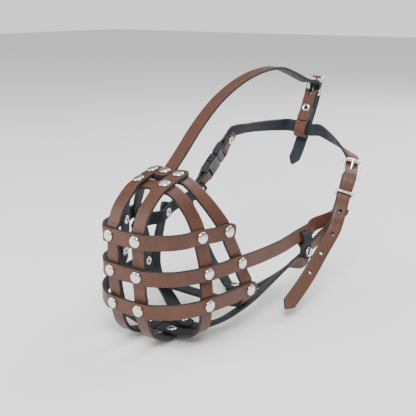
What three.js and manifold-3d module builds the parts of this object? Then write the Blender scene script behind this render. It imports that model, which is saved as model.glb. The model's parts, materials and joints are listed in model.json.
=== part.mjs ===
// Basket muzzle: riveted leather straps, a roller buckle on the neck strap, a roller buckle on the
// forehead strap and a side-release buckle.  Millimetres, +Z up, nose towards -Y, the dog's left is +X.
import * as THREE from 'three';
import { mergeVertices } from 'three/addons/utils/BufferGeometryUtils.js';
import Module from 'manifold-3d';

const wasm = await Module();
wasm.setup();

// ---- Driving dimensions -------------------------------------------------------------------------
const basketWidth = 126;        // across the rear hoop at the lower band
const muzzleLength = 330;       // nose to the back of the neck loop
const muzzleHeight = 240;       // floor to the top of the forehead strap
const strapWidth = 14;
const strapThickness = 3.2;
const layerGap = 0.3;           // air left between two straps that lie on each other
const mostBend = 0.42;          // radians of bend and twist in one flat facet of a strap
const flatReach = 7.3;          // flat length each side of a rivet
const bridgeClearance = 2;      // the nose straps stand one strap width and this far apart
const capRadius = 5.3;          // domed outside head of a rivet
const capHeight = 2.2;
const washerRadius = 4.6;       // eyelet washer inside the straps
const washerHeight = 1;
const shankRadius = 1.7;
const shankClearance = 0.45;    // radial, in the strap holes
const wireRadius = 1.35;        // buckle frames
const frameLength = 21;         // heel bar to roller bar, centre to centre
const strapPlay = 0.8;          // each side of a strap in a buckle frame
const barPlay = 0.4;            // air between a strap or tongue and the bar that it wraps
const rollerWall = 0.9;
const tongueWidth = 2.4;
const tonguePlay = 0.6;         // each side of a tongue in its slot
const keeperWire = 1.5;
const holeRadius = 2;           // adjusting holes in the neck strap
const holeSpacing = 27;
const adjustingHoles = 4;
const clipWidth = 21;           // side-release buckle
const clipThickness = 8;
const clipLength = 36;          // bar to bar
const clipWall = 1.6;

// ---- Derived sizes ------------------------------------------------------------------------------
const drawnWidth = 126;
const drawnLength = 330;
const drawnHeight = 240;
const pitch = strapThickness + layerGap;
const half = strapThickness / 2;
const frontX = strapWidth + bridgeClearance / 2;
const shankHole = shankRadius + shankClearance;
const floorLift = half + layerGap + capHeight;
const wrapRadius = wireRadius + barPlay + half;
const rollerRadius = wireRadius + 0.25 + rollerWall;
const keeperStack = 3 * strapThickness + 4 * layerGap + 1.4;

// ---- Small helpers ------------------------------------------------------------------------------
const vec = (x, y, z) => new THREE.Vector3(x, y, z);

function spot(x, y, z) {
  return vec(
    x * basketWidth / drawnWidth,
    y * muzzleLength / drawnLength,
    z * muzzleHeight / drawnHeight
  );
}

const mirror = (v) => vec(-v.x, v.y, v.z);
const row = (point, normal) => ({ point, normal: normal.clone().normalize(), pinned: 0 });
const pin = (r, reach = flatReach) => ({ ...r, pinned: reach });
const lift = (r, layers) => ({ ...r, point: r.point.clone().addScaledVector(r.normal, layers * pitch) });
const mirrorRow = (r) => ({ ...r, point: mirror(r.point), normal: mirror(r.normal) });
const mirrorRows = (rows) => rows.map(mirrorRow);

function toSolid(geometry) {
  const bare = geometry.clone();
  bare.deleteAttribute('normal');
  bare.deleteAttribute('uv');
  const merged = mergeVertices(bare, 1e-4);
  return new wasm.Manifold(new wasm.Mesh({
    numProp: 3,
    vertProperties: Float32Array.from(merged.attributes.position.array),
    triVerts: Uint32Array.from(merged.index.array)
  }));
}

function toGeometry(solid) {
  const mesh = solid.getMesh();
  const geometry = new THREE.BufferGeometry();
  geometry.setAttribute('position', new THREE.BufferAttribute(mesh.vertProperties, 3));
  geometry.setIndex(new THREE.BufferAttribute(mesh.triVerts, 1));
  return geometry;
}

function cut(geometry, cutters) {
  let solid = toSolid(geometry);
  for (const cutter of cutters) {
    solid = solid.subtract(toSolid(cutter));
  }
  return toGeometry(solid);
}

function join(parts) {
  let solid = toSolid(parts[0]);
  for (const part of parts.slice(1)) {
    solid = solid.add(toSolid(part));
  }
  return toGeometry(solid);
}

function box(width, length, height, x = 0, y = 0, z = 0) {
  const geometry = new THREE.BoxGeometry(width, length, height);
  geometry.translate(x, y, z);
  return geometry;
}

// A matrix whose X, Y and Z columns are the given directions, placed at a point.
function frameAt(origin, xAxis, yAxis, zAxis) {
  const matrix = new THREE.Matrix4().makeBasis(xAxis, yAxis, zAxis);
  matrix.setPosition(origin);
  return matrix;
}

// ---- Straps -------------------------------------------------------------------------------------
// A strap lies flat for a short way on each side of a pinned row, where a rivet holds it.
function flatten(rows) {
  return rows.flatMap((r, i) => {
    if (r.pinned === 0) {
      return [r];
    }
    const after = rows[Math.min(i + 1, rows.length - 1)].point;
    const along = after.clone().sub(rows[Math.max(i - 1, 0)].point);
    along.addScaledVector(r.normal, -along.dot(r.normal)).setLength(r.pinned);
    return [-1, 0, 1].map((side) => ({
      ...row(r.point.clone().addScaledVector(along, side), r.normal),
      heading: along.clone().normalize()
    }));
  });
}

// A strap runs through its rows; each row is a point on its mid line and its outer face's normal.
class Strap {
  constructor(given) {
    const rows = flatten(given);
    this.rows = rows;
    this.spans = rows.length - 1;
    this.curve = new THREE.CatmullRomCurve3(rows.map((r) => r.point), false, 'centripetal');
  }

  // Mid point, direction, width direction and outer normal at a place counted in rows.
  at(place) {
    const i = Math.min(Math.max(Math.floor(place), 0), this.spans - 1);
    const [a, b] = [this.rows[i], this.rows[i + 1]];
    const share = Math.min(Math.max(place - i, 0), 1);
    const flat = (a.heading && b.heading) || (share === 0 && a.heading) || (share === 1 && b.heading);
    const t = (i + share) / this.spans;
    const point = a.heading && b.heading && a.heading.equals(b.heading)
      ? a.point.clone().lerp(b.point, share) : this.curve.getPoint(t);
    const along = flat ? (share < 1 && a.heading ? a : b).heading.clone() : this.curve.getTangent(t);
    const normal = a.normal.clone().lerp(b.normal, share);
    normal.addScaledVector(along, -normal.dot(along)).normalize();
    return { point, along, normal, across: normal.clone().cross(along) };
  }

  // The solid strap; its ends are 'square', 'round' or 'point'.
  solid({ start, end }) {
    const places = [];
    for (let span = 0; span < this.spans; span++) {
      const a = this.at(span);
      const b = this.at(span + 1);
      const bend = a.along.angleTo(b.along) + a.normal.angleTo(b.normal);
      const parts = Math.max(1, Math.ceil(bend / mostBend));
      for (let i = 0; i < parts; i++) {
        places.push(span + i / parts);
      }
    }
    const tips = [this.tip(0, 1, start), this.tip(this.spans, -1, end)];
    const marks = [...places, ...tips.flat().map((mark) => mark.place)].sort((a, b) => a - b);
    const stations = marks.filter((mark, i) => i === 0 || mark - marks[i - 1] > 1e-3).map((place) => (
      { place, scale: tips[0].scaleAt(place) * tips[1].scaleAt(place) }
    ));
    const count = stations.length - 1;
    const geometry = new THREE.BoxGeometry(1, 1, 1, count, 1, 1);
    const position = geometry.attributes.position;
    for (let i = 0; i < position.count; i++) {
      const station = stations[Math.round((position.getX(i) + 0.5) * count)];
      const f = this.at(station.place);
      const p = f.point.addScaledVector(f.across, position.getY(i) * strapWidth * station.scale);
      p.addScaledVector(f.normal, position.getZ(i) * strapThickness);
      position.setXYZ(i, p.x, p.y, p.z);
    }
    return geometry;
  }

  // The place a given distance along from another.
  walk(place, towards, distance) {
    const step = 0.02;
    let reached = place;
    let gone = 0;
    while (gone < distance) {
      const next = reached + towards * step;
      gone += this.at(next).point.distanceTo(this.at(reached).point);
      reached = next;
    }
    return reached;
  }

  // Marks that shape one end, from its tip inwards, with the width's scale at each.
  tip(place, towards, kind) {
    const shapes = {
      square: [[0, 1]],
      round: [[0, 0.35], [0.04, 0.62], [0.14, 0.86], [0.3, 1]],
      point: [[0, 0.14], [0.55, 1]]
    };
    const marks = shapes[kind].map(([reach, scale]) => (
      { place: this.walk(place, towards, reach * strapWidth), scale }
    ));
    marks.scaleAt = (at) => {
      for (let i = 1; i < marks.length; i++) {
        const [a, b] = [marks[i - 1], marks[i]];
        const share = (at - a.place) / (b.place - a.place);
        if (share <= 1) {
          return a.scale + (b.scale - a.scale) * Math.max(share, 0);
        }
      }
      return 1;
    };
    return marks;
  }
}

// ---- Rivets -------------------------------------------------------------------------------------
// Local +Z points out of the top strap; z = 0 is that strap's outer face.
function rivetSolid(layers) {
  const stack = layers * strapThickness + (layers - 1) * layerGap;
  const low = -stack - layerGap;
  const profile = [
    [0, low - washerHeight * 0.4],
    [shankRadius * 1.2, low - washerHeight],
    [washerRadius * 0.9, low - washerHeight * 0.8],
    [washerRadius, low],
    [shankRadius, low],
    [shankRadius, layerGap],
    [capRadius, layerGap],
    [capRadius * 0.93, layerGap + capHeight * 0.45],
    [capRadius * 0.6, layerGap + capHeight * 0.85],
    [0, layerGap + capHeight]
  ].map(([r, z]) => new THREE.Vector2(r, z));
  const geometry = new THREE.LatheGeometry(profile, 8);
  geometry.rotateX(Math.PI / 2);
  return geometry;
}

// A rivet's place: the outermost row that it goes through and how many straps lie in its stack.
function rivetPlace(outerRow, layers) {
  const z = outerRow.normal;
  const x = vec(0.31, 0.2, 0.93).cross(z).normalize();
  const y = z.clone().cross(x);
  const head = outerRow.point.clone().addScaledVector(z, half);
  return { matrix: frameAt(head, x, y, z), layers };
}

function shankCutters(places) {
  return places.map(({ matrix, layers }) => {
    const geometry = new THREE.CylinderGeometry(shankHole, shankHole, 4 * layers * pitch, 8);
    geometry.rotateX(Math.PI / 2);
    return geometry.applyMatrix4(matrix);
  });
}

// ---- Nodes --------------------------------------------------------------------------------------
const group = new THREE.Group();
const leather = { color: 0x7a3f20, roughness: 0.55, metalness: 0 };
const steel = { color: 0xc9c9c6, roughness: 0.18, metalness: 1 };
const plastic = { color: 0x14171c, roughness: 0.4, metalness: 0 };

function addNode(name, geometry, look) {
  const mesh = new THREE.Mesh(geometry, new THREE.MeshStandardMaterial(look));
  mesh.name = name;
  group.add(mesh);
}

// ---- Basket: crossings of the vertical straps with the bands -------------------------------------
const outFront = vec(0.1, -1, 0);
const front = {
  upper: pin(row(spot(0, 0, 109).setX(frontX), outFront)),
  middle: pin(row(spot(0, 0.2, 76.4).setX(frontX), outFront)),
  lower: pin(row(spot(0, 1.6, 44.4).setX(frontX), outFront))
};
const hoopFront = {
  upper: pin(row(spot(45, 46.7, 105.6), vec(0.95, -0.3, 0.1))),
  middle: pin(row(spot(50, 49, 72), vec(0.97, -0.25, 0.05))),
  lower: pin(row(spot(54.5, 44, 44.4), vec(0.97, -0.22, 0)))
};
const hoopRear = {
  upper: pin(row(spot(53.6, 74.6, 105.6), vec(0.97, -0.2, 0.12))),
  middle: pin(row(spot(58, 89, 72), vec(0.98, -0.12, 0.08)), 10.6),
  lower: pin(row(spot(63, 97, 44.4), vec(0.98, -0.15, -0.02)))
};
const bottomZ = floorLift + half * 0.2;
const topFront = pin(row(spot(0, 36, 150.5).setX(frontX), vec(0.12, -0.3, 0.95)));
const topRear = pin(row(spot(0, 55, 155.5).setX(frontX), vec(0.1, -0.2, 0.97)));
const bottomFront = pin(row(spot(0, 43, 0).setX(frontX).setZ(bottomZ), vec(0, 0, -1)));
const bottomRear = pin(row(spot(0, 60.5, 0).setX(frontX).setZ(bottomZ), vec(0, 0, -1)));

// The two front straps: bridge, nose, under the jaw.
function frontRow(y, z, ny, nz) {
  return row(spot(0, y, z).setX(frontX), vec(0, ny, nz));
}

const frontRows = [
  frontRow(65, 157.3, -0.15, 0.98),
  topRear,
  topFront,
  frontRow(20, 142, -0.55, 0.83),
  frontRow(8, 130.5, -0.82, 0.56),
  frontRow(2, 119, -0.97, 0.2),
  front.upper,
  frontRow(0, 92.5, -1, 0),
  front.middle,
  frontRow(0.6, 60, -1, 0),
  front.lower,
  frontRow(3.2, 32, -0.99, -0.15),
  frontRow(7, 21.5, -0.88, -0.45),
  frontRow(15.5, 12, -0.6, -0.8),
  row(spot(0, 28, 0).setX(frontX).setZ(bottomZ + 2), vec(0, -0.2, -0.98)),
  bottomFront,
  bottomRear,
  row(spot(0, 68.5, 0).setX(frontX).setZ(bottomZ + 0.3), vec(0, 0, -1))
];

// Each hoop from the middle of the bridge, down the left side, to the middle of the bottom.
const lapFlat = 6;
const lapEnd = 7.7;
const hoopFrontHalf = [
  row(spot(0, 36.6, 148.6), vec(0, -0.25, 0.97)),
  lift(topFront, -1),
  row(spot(30, 40, 139.5), vec(0.6, -0.25, 0.75)),
  row(spot(40, 43.5, 124), vec(0.86, -0.25, 0.42)),
  hoopFront.upper,
  row(spot(48, 48.5, 88.5), vec(0.97, -0.2, 0.1)),
  hoopFront.middle,
  row(spot(52.8, 47, 58), vec(0.98, -0.2, 0)),
  hoopFront.lower,
  row(spot(54.3, 43.5, 31), vec(0.98, -0.15, -0.1)),
  row(spot(51, 43.2, 19.5), vec(0.85, -0.1, -0.5)),
  row(spot(43, 43, 13), vec(0.45, 0, -0.9)),
  row(spot(30, 43, 9.5), vec(0.18, 0, -0.98)),
  lift(bottomFront, -1)
];
const hoopRearHalf = [
  pin(row(spot(0, 55.6, 153), vec(0, -0.2, 0.98)), lapFlat),
  lift(topRear, -1),
  row(spot(30, 59.5, 144.5), vec(0.55, -0.2, 0.8)),
  row(spot(41.5, 65.5, 130), vec(0.82, -0.2, 0.52)),
  row(spot(49.5, 70.5, 117), vec(0.93, -0.2, 0.25)),
  hoopRear.upper,
  pin(row(spot(56, 81.5, 89), vec(0.97, -0.15, 0.1)), 7.4),
  hoopRear.middle,
  row(spot(60.8, 94, 58), vec(0.98, -0.12, 0.05)),
  hoopRear.lower,
  row(spot(62.2, 98, 35), vec(0.95, -0.05, -0.3)),
  row(spot(56.5, 99, 27.5), vec(0.6, 0, -0.8)),
  row(spot(45, 100, 24), vec(0.25, 0, -0.97)),
  row(spot(25, 101, 22.8), vec(0.08, 0, -1))
];

// The front hoop's ends meet under the jaw, each riveted to a front strap.  The rear hoop's ends lap
// under the end of the forehead strap, whose rivet goes through both.
const hoopMeet = 0.6;
const endReach = flatReach + 2;
const frontHoopEnd = row(spot(0, 43, 0).setX(hoopMeet).setZ(bottomZ + pitch), vec(0, 0, -1));
const frontHoopRows = [
  mirrorRow(frontHoopEnd),
  ...mirrorRows(hoopFrontHalf.slice(1)).reverse(),
  ...hoopFrontHalf,
  frontHoopEnd
];
const rearLap = hoopRearHalf[0];
const rearHoopRows = [
  row(rearLap.point.clone().setX(-lapEnd), rearLap.normal),
  ...hoopRearHalf,
  ...mirrorRows(hoopRearHalf.slice(1)).reverse(),
  lift(rearLap, -1),
  row(lift(rearLap, -1).point.setX(lapEnd), rearLap.normal)
];

// ---- Bands, each outside the straps that it crosses ----------------------------------------------
const upperHalf = [
  lift(front.upper, 1),
  row(spot(28.5, 2.5, 108.3), vec(0.55, -0.83, 0)),
  row(spot(38.5, 13.5, 107.3), vec(0.82, -0.57, 0.02)),
  row(spot(44.8, 28, 106.4), vec(0.92, -0.38, 0.05)),
  lift(hoopFront.upper, 1),
  row(spot(53.2, 60, 105.5), vec(0.96, -0.26, 0.1)),
  lift(hoopRear.upper, 1),
  row(spot(58.9, 82.6, 105.8), vec(0.97, -0.2, 0.12))
];
const middleHalf = [
  lift(front.middle, 1),
  row(spot(30, 2.8, 75.4), vec(0.55, -0.83, 0)),
  row(spot(41.5, 15, 74.2), vec(0.84, -0.54, 0)),
  row(spot(49, 32, 73), vec(0.94, -0.34, 0)),
  lift(hoopFront.middle, 1)
];
const lowerHalf = [
  lift(front.lower, 1),
  row(spot(32, 4, 44.4), vec(0.55, -0.83, 0)),
  row(spot(45, 15, 44.4), vec(0.8, -0.6, 0)),
  row(spot(53.8, 29.5, 44.4), vec(0.93, -0.36, 0)),
  lift(hoopFront.lower, 1),
  row(spot(63.5, 70, 44.4), vec(0.97, -0.22, 0)),
  lift(hoopRear.lower, 1),
  row(spot(68, 105.5, 44.4), vec(0.98, -0.13, -0.02))
];
const noseMiddle = (r) => row(lift(r, 1).point.setX(0).add(vec(0, -0.9, 0)), vec(0, -1, 0));
const farMiddleEnd = row(spot(55.5, 60, 72), vec(0.97, -0.22, 0.05));

// ---- Neck buckle: its heel bar's middle and its width, length and outward directions --------------
const neckHeel = spot(75, 279, 118.5);
const neckUp = vec(-0.05, 0.577, 0.815).normalize();
const neckOut = vec(0.55, -0.665, 0.505);
neckOut.addScaledVector(neckUp, -neckOut.dot(neckUp)).normalize();
const neckWide = neckUp.clone().cross(neckOut).normalize();
const neckFrame = frameAt(neckHeel, neckWide, neckUp, neckOut);

// A row given in a buckle's own directions: up along the frame and out of its face.
function localRow(frame, wide, up, out, nUp, nOut) {
  const normal = vec(0, nUp, nOut).transformDirection(frame);
  return row(vec(wide, up, out).applyMatrix4(frame), normal);
}

const neckRow = (up, out, nUp, nOut) => localRow(neckFrame, 0, up, out, nUp, nOut);

// Strap folded round a heel bar: along the outside, round the bar, back along the inside.
function foldRows(frame, outerReach, innerReach) {
  const local = (up, out, nUp, nOut) => localRow(frame, 0, up, out, nUp, nOut);
  const near = pitch / 2;
  return [
    local(-outerReach, near, 0, 1),
    local(-outerReach + 6, near, 0, 1),
    local((-outerReach - 3) / 2, near, 0, 1),
    local(-9, near, 0, 1),
    local(-4.5, near + 0.8, -0.2, 0.98),
    local(0, wrapRadius, 0, 1),
    local(wrapRadius * 0.72, wrapRadius * 0.72, 0.7, 0.7),
    local(wrapRadius, 0, 1, 0),
    local(wrapRadius * 0.72, -wrapRadius * 0.72, 0.7, -0.7),
    local(0, -wrapRadius, 0, -1),
    local(-4.5, -near - 0.8, -0.2, -0.98),
    local(-9, -near, 0, -1),
    local((-innerReach - 9) / 2, -near, 0, -1),
    local(-innerReach, -near, 0, -1)
  ];
}

// ---- Cheek strap: the middle band runs on to the throat strap below the neck buckle ---------------
const slitRow = pin(row(spot(62.4, 206, 71.5), vec(0.97, -0.1, 0.15)), 9.5);
const cheekJoin = pin(localRow(neckFrame, 0, -42, pitch / 2, 0, 1));
const cheekRows = [
  lift(hoopRear.middle, 1),
  row(spot(62.6, 120, 70.2), vec(0.99, -0.08, 0.1)),
  row(spot(62.6, 160, 69), vec(0.99, -0.08, 0.12)),
  slitRow,
  row(spot(61.5, 229, 74.5), vec(0.9, -0.35, 0.25)),
  lift(cheekJoin, -2),
  row(lift(cheekJoin, -2).point.add(vec(3.2, 7.6, 5.5)), cheekJoin.normal)
];
const middleRows = [
  mirrorRow(farMiddleEnd),
  ...mirrorRows(middleHalf).reverse(),
  noseMiddle(front.middle),
  ...middleHalf,
  row(spot(58.2, 69, 72), vec(0.98, -0.18, 0.05)),
  ...cheekRows
];
const upperRows = [...mirrorRows(upperHalf).reverse(), noseMiddle(front.upper), ...upperHalf];
const lowerRows = [...mirrorRows(lowerHalf).reverse(), noseMiddle(front.lower), ...lowerHalf];

// ---- Side-release buckle: from the socket's strap bar to the plug's -------------------------------
const clipBase = spot(-47, 178.2, 124.9);
const clipUp = vec(0.12, 0.7, 0.7).normalize();
const clipOut = vec(-0.95, -0.05, 0.25);
clipOut.addScaledVector(clipUp, -clipOut.dot(clipUp)).normalize();
const clipWide = clipUp.clone().cross(clipOut).normalize();
const clipFrame = frameAt(clipBase, clipWide, clipUp, clipOut);
const clipTop = frameAt(clipBase.clone().addScaledVector(clipUp, clipLength),
  clipWide.clone().negate(), clipUp.clone().negate(), clipOut);

// ---- Throat straps: down from the socket, up to the neck buckle, riveted together at the bottom ---
const throatRivet = pin(row(spot(0, 168, 0).setZ(floorLift + half * 0.2), vec(0, 0, -1)));
const throatRightRows = [
  ...foldRows(clipFrame, 29, 28).reverse(),
  row(spot(-52.3, 156, 94), vec(-0.98, -0.2, 0.05)),
  row(spot(-51.5, 160, 82), vec(-0.98, -0.1, -0.1)),
  row(spot(-47, 164, 64.5), vec(-0.95, 0, -0.3)),
  row(spot(-39, 166, 46), vec(-0.9, 0, -0.45)),
  row(spot(-28, 166.5, 28.5), vec(-0.8, 0, -0.6)),
  row(spot(-14, 167, 15), vec(-0.5, 0, -0.86)),
  lift(throatRivet, -1),
  row(lift(throatRivet, -1).point.add(vec(endReach, 1.5, 1.7)), vec(0.1, 0, -1))
];
const throatLeftRows = [
  row(throatRivet.point.clone().add(vec(-endReach, -1.5, 0)), throatRivet.normal),
  throatRivet,
  row(spot(20, 172, 9), vec(0.3, 0, -0.95)),
  row(spot(33, 185, 18.5), vec(0.6, 0.1, -0.8)),
  row(spot(46, 200, 31), vec(0.7, 0.1, -0.65)),
  row(spot(57, 216.5, 44.5), vec(0.78, -0.05, -0.5)),
  row(spot(68, 230, 60), vec(0.85, -0.3, -0.2)),
  row(spot(76, 242.5, 70.5), vec(0.75, -0.5, 0.2)),
  ...foldRows(neckFrame, 50, 48)
];

// ---- Forehead buckle: it stands on a tab that is looped round the neck strap ------------------------
const topHeel = spot(5.1, 315.4, 203.4);
const topUp = vec(0.1, 0.3, 0.95).normalize();
const topOut = vec(-0.12, 0.954, -0.3);
topOut.addScaledVector(topUp, -topOut.dot(topUp)).normalize();
const topWide = topUp.clone().cross(topOut).normalize();
const topFrame = frameAt(topHeel, topWide, topUp, topOut);
const topRow = (up, out, nUp, nOut) => localRow(topFrame, 0, up, out, nUp, nOut);
const loopReach = 41.5;
const loopOut = pitch + 1.9;

// ---- Neck strap: folded on the plug, over the neck, through the neck buckle, down as the tail -----
const neckStrapRows = [
  ...foldRows(clipTop, 22, 22).reverse(),
  row(spot(-37, 242, 168), vec(-0.8, 0.1, 0.58)),
  row(spot(-31, 264, 168), vec(-0.7, 0.5, 0.5)),
  row(spot(-22.5, 284, 167.5), vec(-0.52, 0.8, 0.3)),
  localRow(topFrame, 16, -loopReach, 0, 0, 1),
  localRow(topFrame, 0, -loopReach, 0, 0, 1),
  localRow(topFrame, -12, -loopReach, 0, 0, 1),
  row(spot(22.5, 305, 163), vec(0.3, 0.93, 0.1)),
  row(spot(36, 303.5, 157.5), vec(0.52, 0.78, 0.36)),
  row(spot(50.5, 301.5, 149.8), vec(0.64, 0.5, 0.58)),
  row(spot(61.5, 300, 142.3), vec(0.66, 0.15, 0.72)),
  neckRow(frameLength + 4.8, -8, 0.25, 0.97),
  neckRow(frameLength, -rollerRadius - barPlay - half - 0.8, 0.2, 0.98),
  neckRow(frameLength - 6.5, -0.6, 0.6, 0.8),
  neckRow(frameLength - 13, 4.8, 0.6, 0.8),
  neckRow(0.5, 9.2, 0.25, 0.97),
  neckRow(-7, 10, -0.1, 1),
  neckRow(-13.5, 8.4, -0.3, 0.95),
  neckRow(-20, pitch * 1.5 + 0.4, -0.1, 1),
  neckRow(-27, pitch * 1.5 + 0.4, 0.2, 1),
  neckRow(-35, 7.9, 0.25, 1),
  neckRow(-42, 8.9, 0, 1),
  neckRow(-50, 8.9, 0, 1),
  row(spot(82, 238, 71.5), vec(0.6, -0.5, 0.62)),
  row(spot(81, 214, 53), vec(0.62, -0.44, 0.65)),
  row(spot(81, 180, 31), vec(0.63, -0.42, 0.66)),
  row(spot(80, 142, 12), vec(0.64, -0.4, 0.66))
];

// ---- Tab round the neck strap, and the forehead strap -------------------------------------------------
const tabRows = [
  topRow(-13, 0, 0, -1),
  topRow(-22, 0, 0, -1),
  topRow(-28.5, -1.3, -0.4, -0.92),
  topRow(-34, -loopOut, -0.2, -0.98),
  topRow(-40, -loopOut, 0, -1),
  topRow(-46.5, -loopOut, 0, -1),
  topRow(-50, -2.7, -0.7, -0.7),
  topRow(-51.2, 0, -1, 0),
  topRow(-50, 2.7, -0.7, 0.7),
  topRow(-46.5, loopOut, 0, 1),
  topRow(-40, loopOut, 0, 1),
  topRow(-33, loopOut, 0, 1),
  topRow(-26, pitch, 0, 1),
  topRow(-12, pitch, 0, 1),
  topRow(-5, 3.3, 0, 1),
  topRow(0, wrapRadius, 0.1, 1),
  topRow(wrapRadius * 0.72, wrapRadius * 0.72, 0.7, 0.7),
  topRow(wrapRadius, 0, 1, 0),
  topRow(wrapRadius * 0.72, -wrapRadius * 0.72, 0.7, -0.7),
  topRow(0, -wrapRadius, 0.1, -1),
  topRow(-5, -3.3, 0, -1),
  topRow(-12, -pitch, 0, -1),
  topRow(-22, -pitch, 0, -1),
  topRow(-28, -pitch - 1.4, 0.3, -0.95),
  topRow(-34, -pitch - 4.1, 0.3, -0.95)
];
const foreheadRivet = lift(rearLap, 1);
const overTabRivet = pitch + strapThickness + layerGap + capHeight + 1.1;
const foreheadRows = [
  row(spot(0, 45, 154.6), vec(0, -0.2, 0.98)),
  foreheadRivet,
  row(spot(0, 66, 161.5), vec(0, -0.5, 0.87)),
  row(spot(0, 80, 173), vec(0, -0.68, 0.74)),
  row(spot(0, 101, 191), vec(0, -0.62, 0.78)),
  row(spot(0, 132, 212), vec(0, -0.48, 0.88)),
  row(spot(0, 170, 228), vec(0, -0.3, 0.95)),
  row(spot(0, 210, 236.5), vec(0, -0.12, 0.99)),
  row(spot(0, 247, 237), vec(0, 0.12, 0.99)),
  row(spot(1.5, 272, 230.2), vec(0, 0.32, 0.95)),
  row(spot(3.2, 290, 223.4), vec(0, 0.35, 0.94)),
  row(spot(5, 303, 219), vec(-0.05, 0.3, 0.95)),
  topRow(frameLength - 7, -4.5, 0.97, 0.2),
  topRow(frameLength - 8.3, 1.5, 0.9, 0.43),
  topRow(frameLength - 12, 6.3, 0.6, 0.8),
  topRow(2, 9.4, 0.2, 0.98),
  topRow(-9, overTabRivet, 0, 1),
  topRow(-20, overTabRivet, 0, 1),
  topRow(-29, loopOut + pitch + 0.7, -0.05, 1),
  topRow(-41, loopOut + pitch + 0.3, -0.05, 1),
  topRow(-54, 8, -0.1, 0.99),
  row(spot(-3, 301, 136), vec(-0.05, 0.86, -0.5)),
  row(spot(-6, 293.5, 121), vec(-0.1, 0.82, -0.56))
];

// ---- Straps from under the jaw back to the cheek straps --------------------------------------------
const bottomInner = lift(bottomRear, -1);
const jawRow = (x, y, z, nx, ny, nz) => row(spot(x, y, z), vec(nx, ny, nz));
const jawLeftRows = [
  row(mirror(bottomInner.point).add(vec(-endReach, 0, 0)), bottomInner.normal),
  mirrorRow(bottomInner),
  row(bottomInner.point.clone().setX(0), bottomInner.normal),
  bottomInner,
  jawRow(31, 61.5, 9.4, 0.12, 0, -1),
  jawRow(42, 66, 13.2, 0.3, 0, -0.95),
  jawRow(50.5, 76, 17, 0.4, -0.05, -0.9),
  jawRow(54.5, 92, 20.5, 0.42, -0.1, -0.9),
  jawRow(56.5, 112, 24.5, 0.44, -0.1, -0.9),
  jawRow(58, 140, 32, 0.5, 0, -0.85),
  jawRow(59.5, 166, 39, 0.62, 0.15, -0.76),
  jawRow(61.5, 185, 43.5, 0.8, 0.2, -0.5)
];
const slitAlong = vec(0, 1, 0).addScaledVector(slitRow.normal, -slitRow.normal.y).normalize();
const slitUp = slitRow.normal.clone().cross(slitAlong);
const slitFrame = frameAt(slitRow.point, slitAlong, slitUp, slitRow.normal);
const slitPlace = (along, up, out, nUp, nOut) => localRow(slitFrame, along, up, out, nUp, nOut);
const slitRivetUp = -21;
const slitRivetIn = slitPlace(0, slitRivetUp, -pitch / 2, 0, 1);
const slitRivetOut = slitPlace(0, slitRivetUp, pitch / 2, 0, 1);
jawLeftRows.push(
  slitPlace(-5, -31, -1.9, -0.3, 0.95),
  pin(slitRivetIn),
  slitPlace(0, -9.6, -4, 0.1, 0.98),
  slitPlace(0, -4, -4.3, 0, 1),
  slitPlace(0, -1.2, -3.3, -0.7, 0.7),
  slitPlace(0, 0, -0.9, -1, 0.1),
  slitPlace(0, 0, 0.9, -1, -0.1),
  slitPlace(0, -0.9, 2.9, -0.7, -0.7),
  slitPlace(0, -3.5, 3.7, 0.1, -0.98),
  slitPlace(0, -9.6, 3.8, 0.1, -0.98),
  slitPlace(0, slitRivetUp + flatReach, pitch / 2, 0, -1),
  slitPlace(0, slitRivetUp - flatReach, pitch / 2, 0, -1)
);

// ---- Far cheek strap and the straps' crossing with it ----------------------------------------------
const farCheekStart = pin(lift(mirrorRow(hoopRearHalf[6]), 1), 8.4);
const farCross = pin(row(spot(-52.5, 118, 95), vec(-0.98, -0.15, 0.1)), 8.8);
const socketJoin = pin(localRow(clipFrame, 0, -20, pitch / 2, 0, 1), 8);
const farCheekRows = [
  row(farCheekStart.point.clone().add(vec(-0.6, -endReach, -1.5)), farCheekStart.normal),
  farCheekStart,
  row(spot(-57, 99, 91.5), vec(-0.98, -0.18, 0.08)),
  farCross,
  row(spot(-46.8, 143, 105), vec(-0.97, -0.08, 0.2)),
  lift(socketJoin, -2),
  lift(row(socketJoin.point.clone().add(vec(1.2, 8.8, 3.5)), socketJoin.normal), -2)
];
const jawRightRows = [
  row(lift(bottomRear, -2).point.add(vec(endReach + 1, 0, 1.2)), bottomRear.normal),
  lift(bottomRear, -2),
  jawRow(0, 70.5, 12.2, 0, 0, -1),
  jawRow(-18, 84, 13, -0.08, 0, -1),
  jawRow(-37, 97, 15.5, -0.25, 0, -0.97),
  jawRow(-55.5, 107, 20.5, -0.55, 0, -0.83),
  jawRow(-66.5, 114, 34, -0.9, 0.05, -0.4),
  jawRow(-67, 116, 51, -0.99, 0.05, 0),
  jawRow(-63.5, 117, 69, -0.98, -0.05, 0.12),
  jawRow(-59.5, 117.7, 84, -0.98, -0.12, 0.12),
  lift(farCross, 1),
  row(lift(farCross, 1).point.add(vec(0.6, 0.4, endReach + 1.2)), farCross.normal)
];

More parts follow.
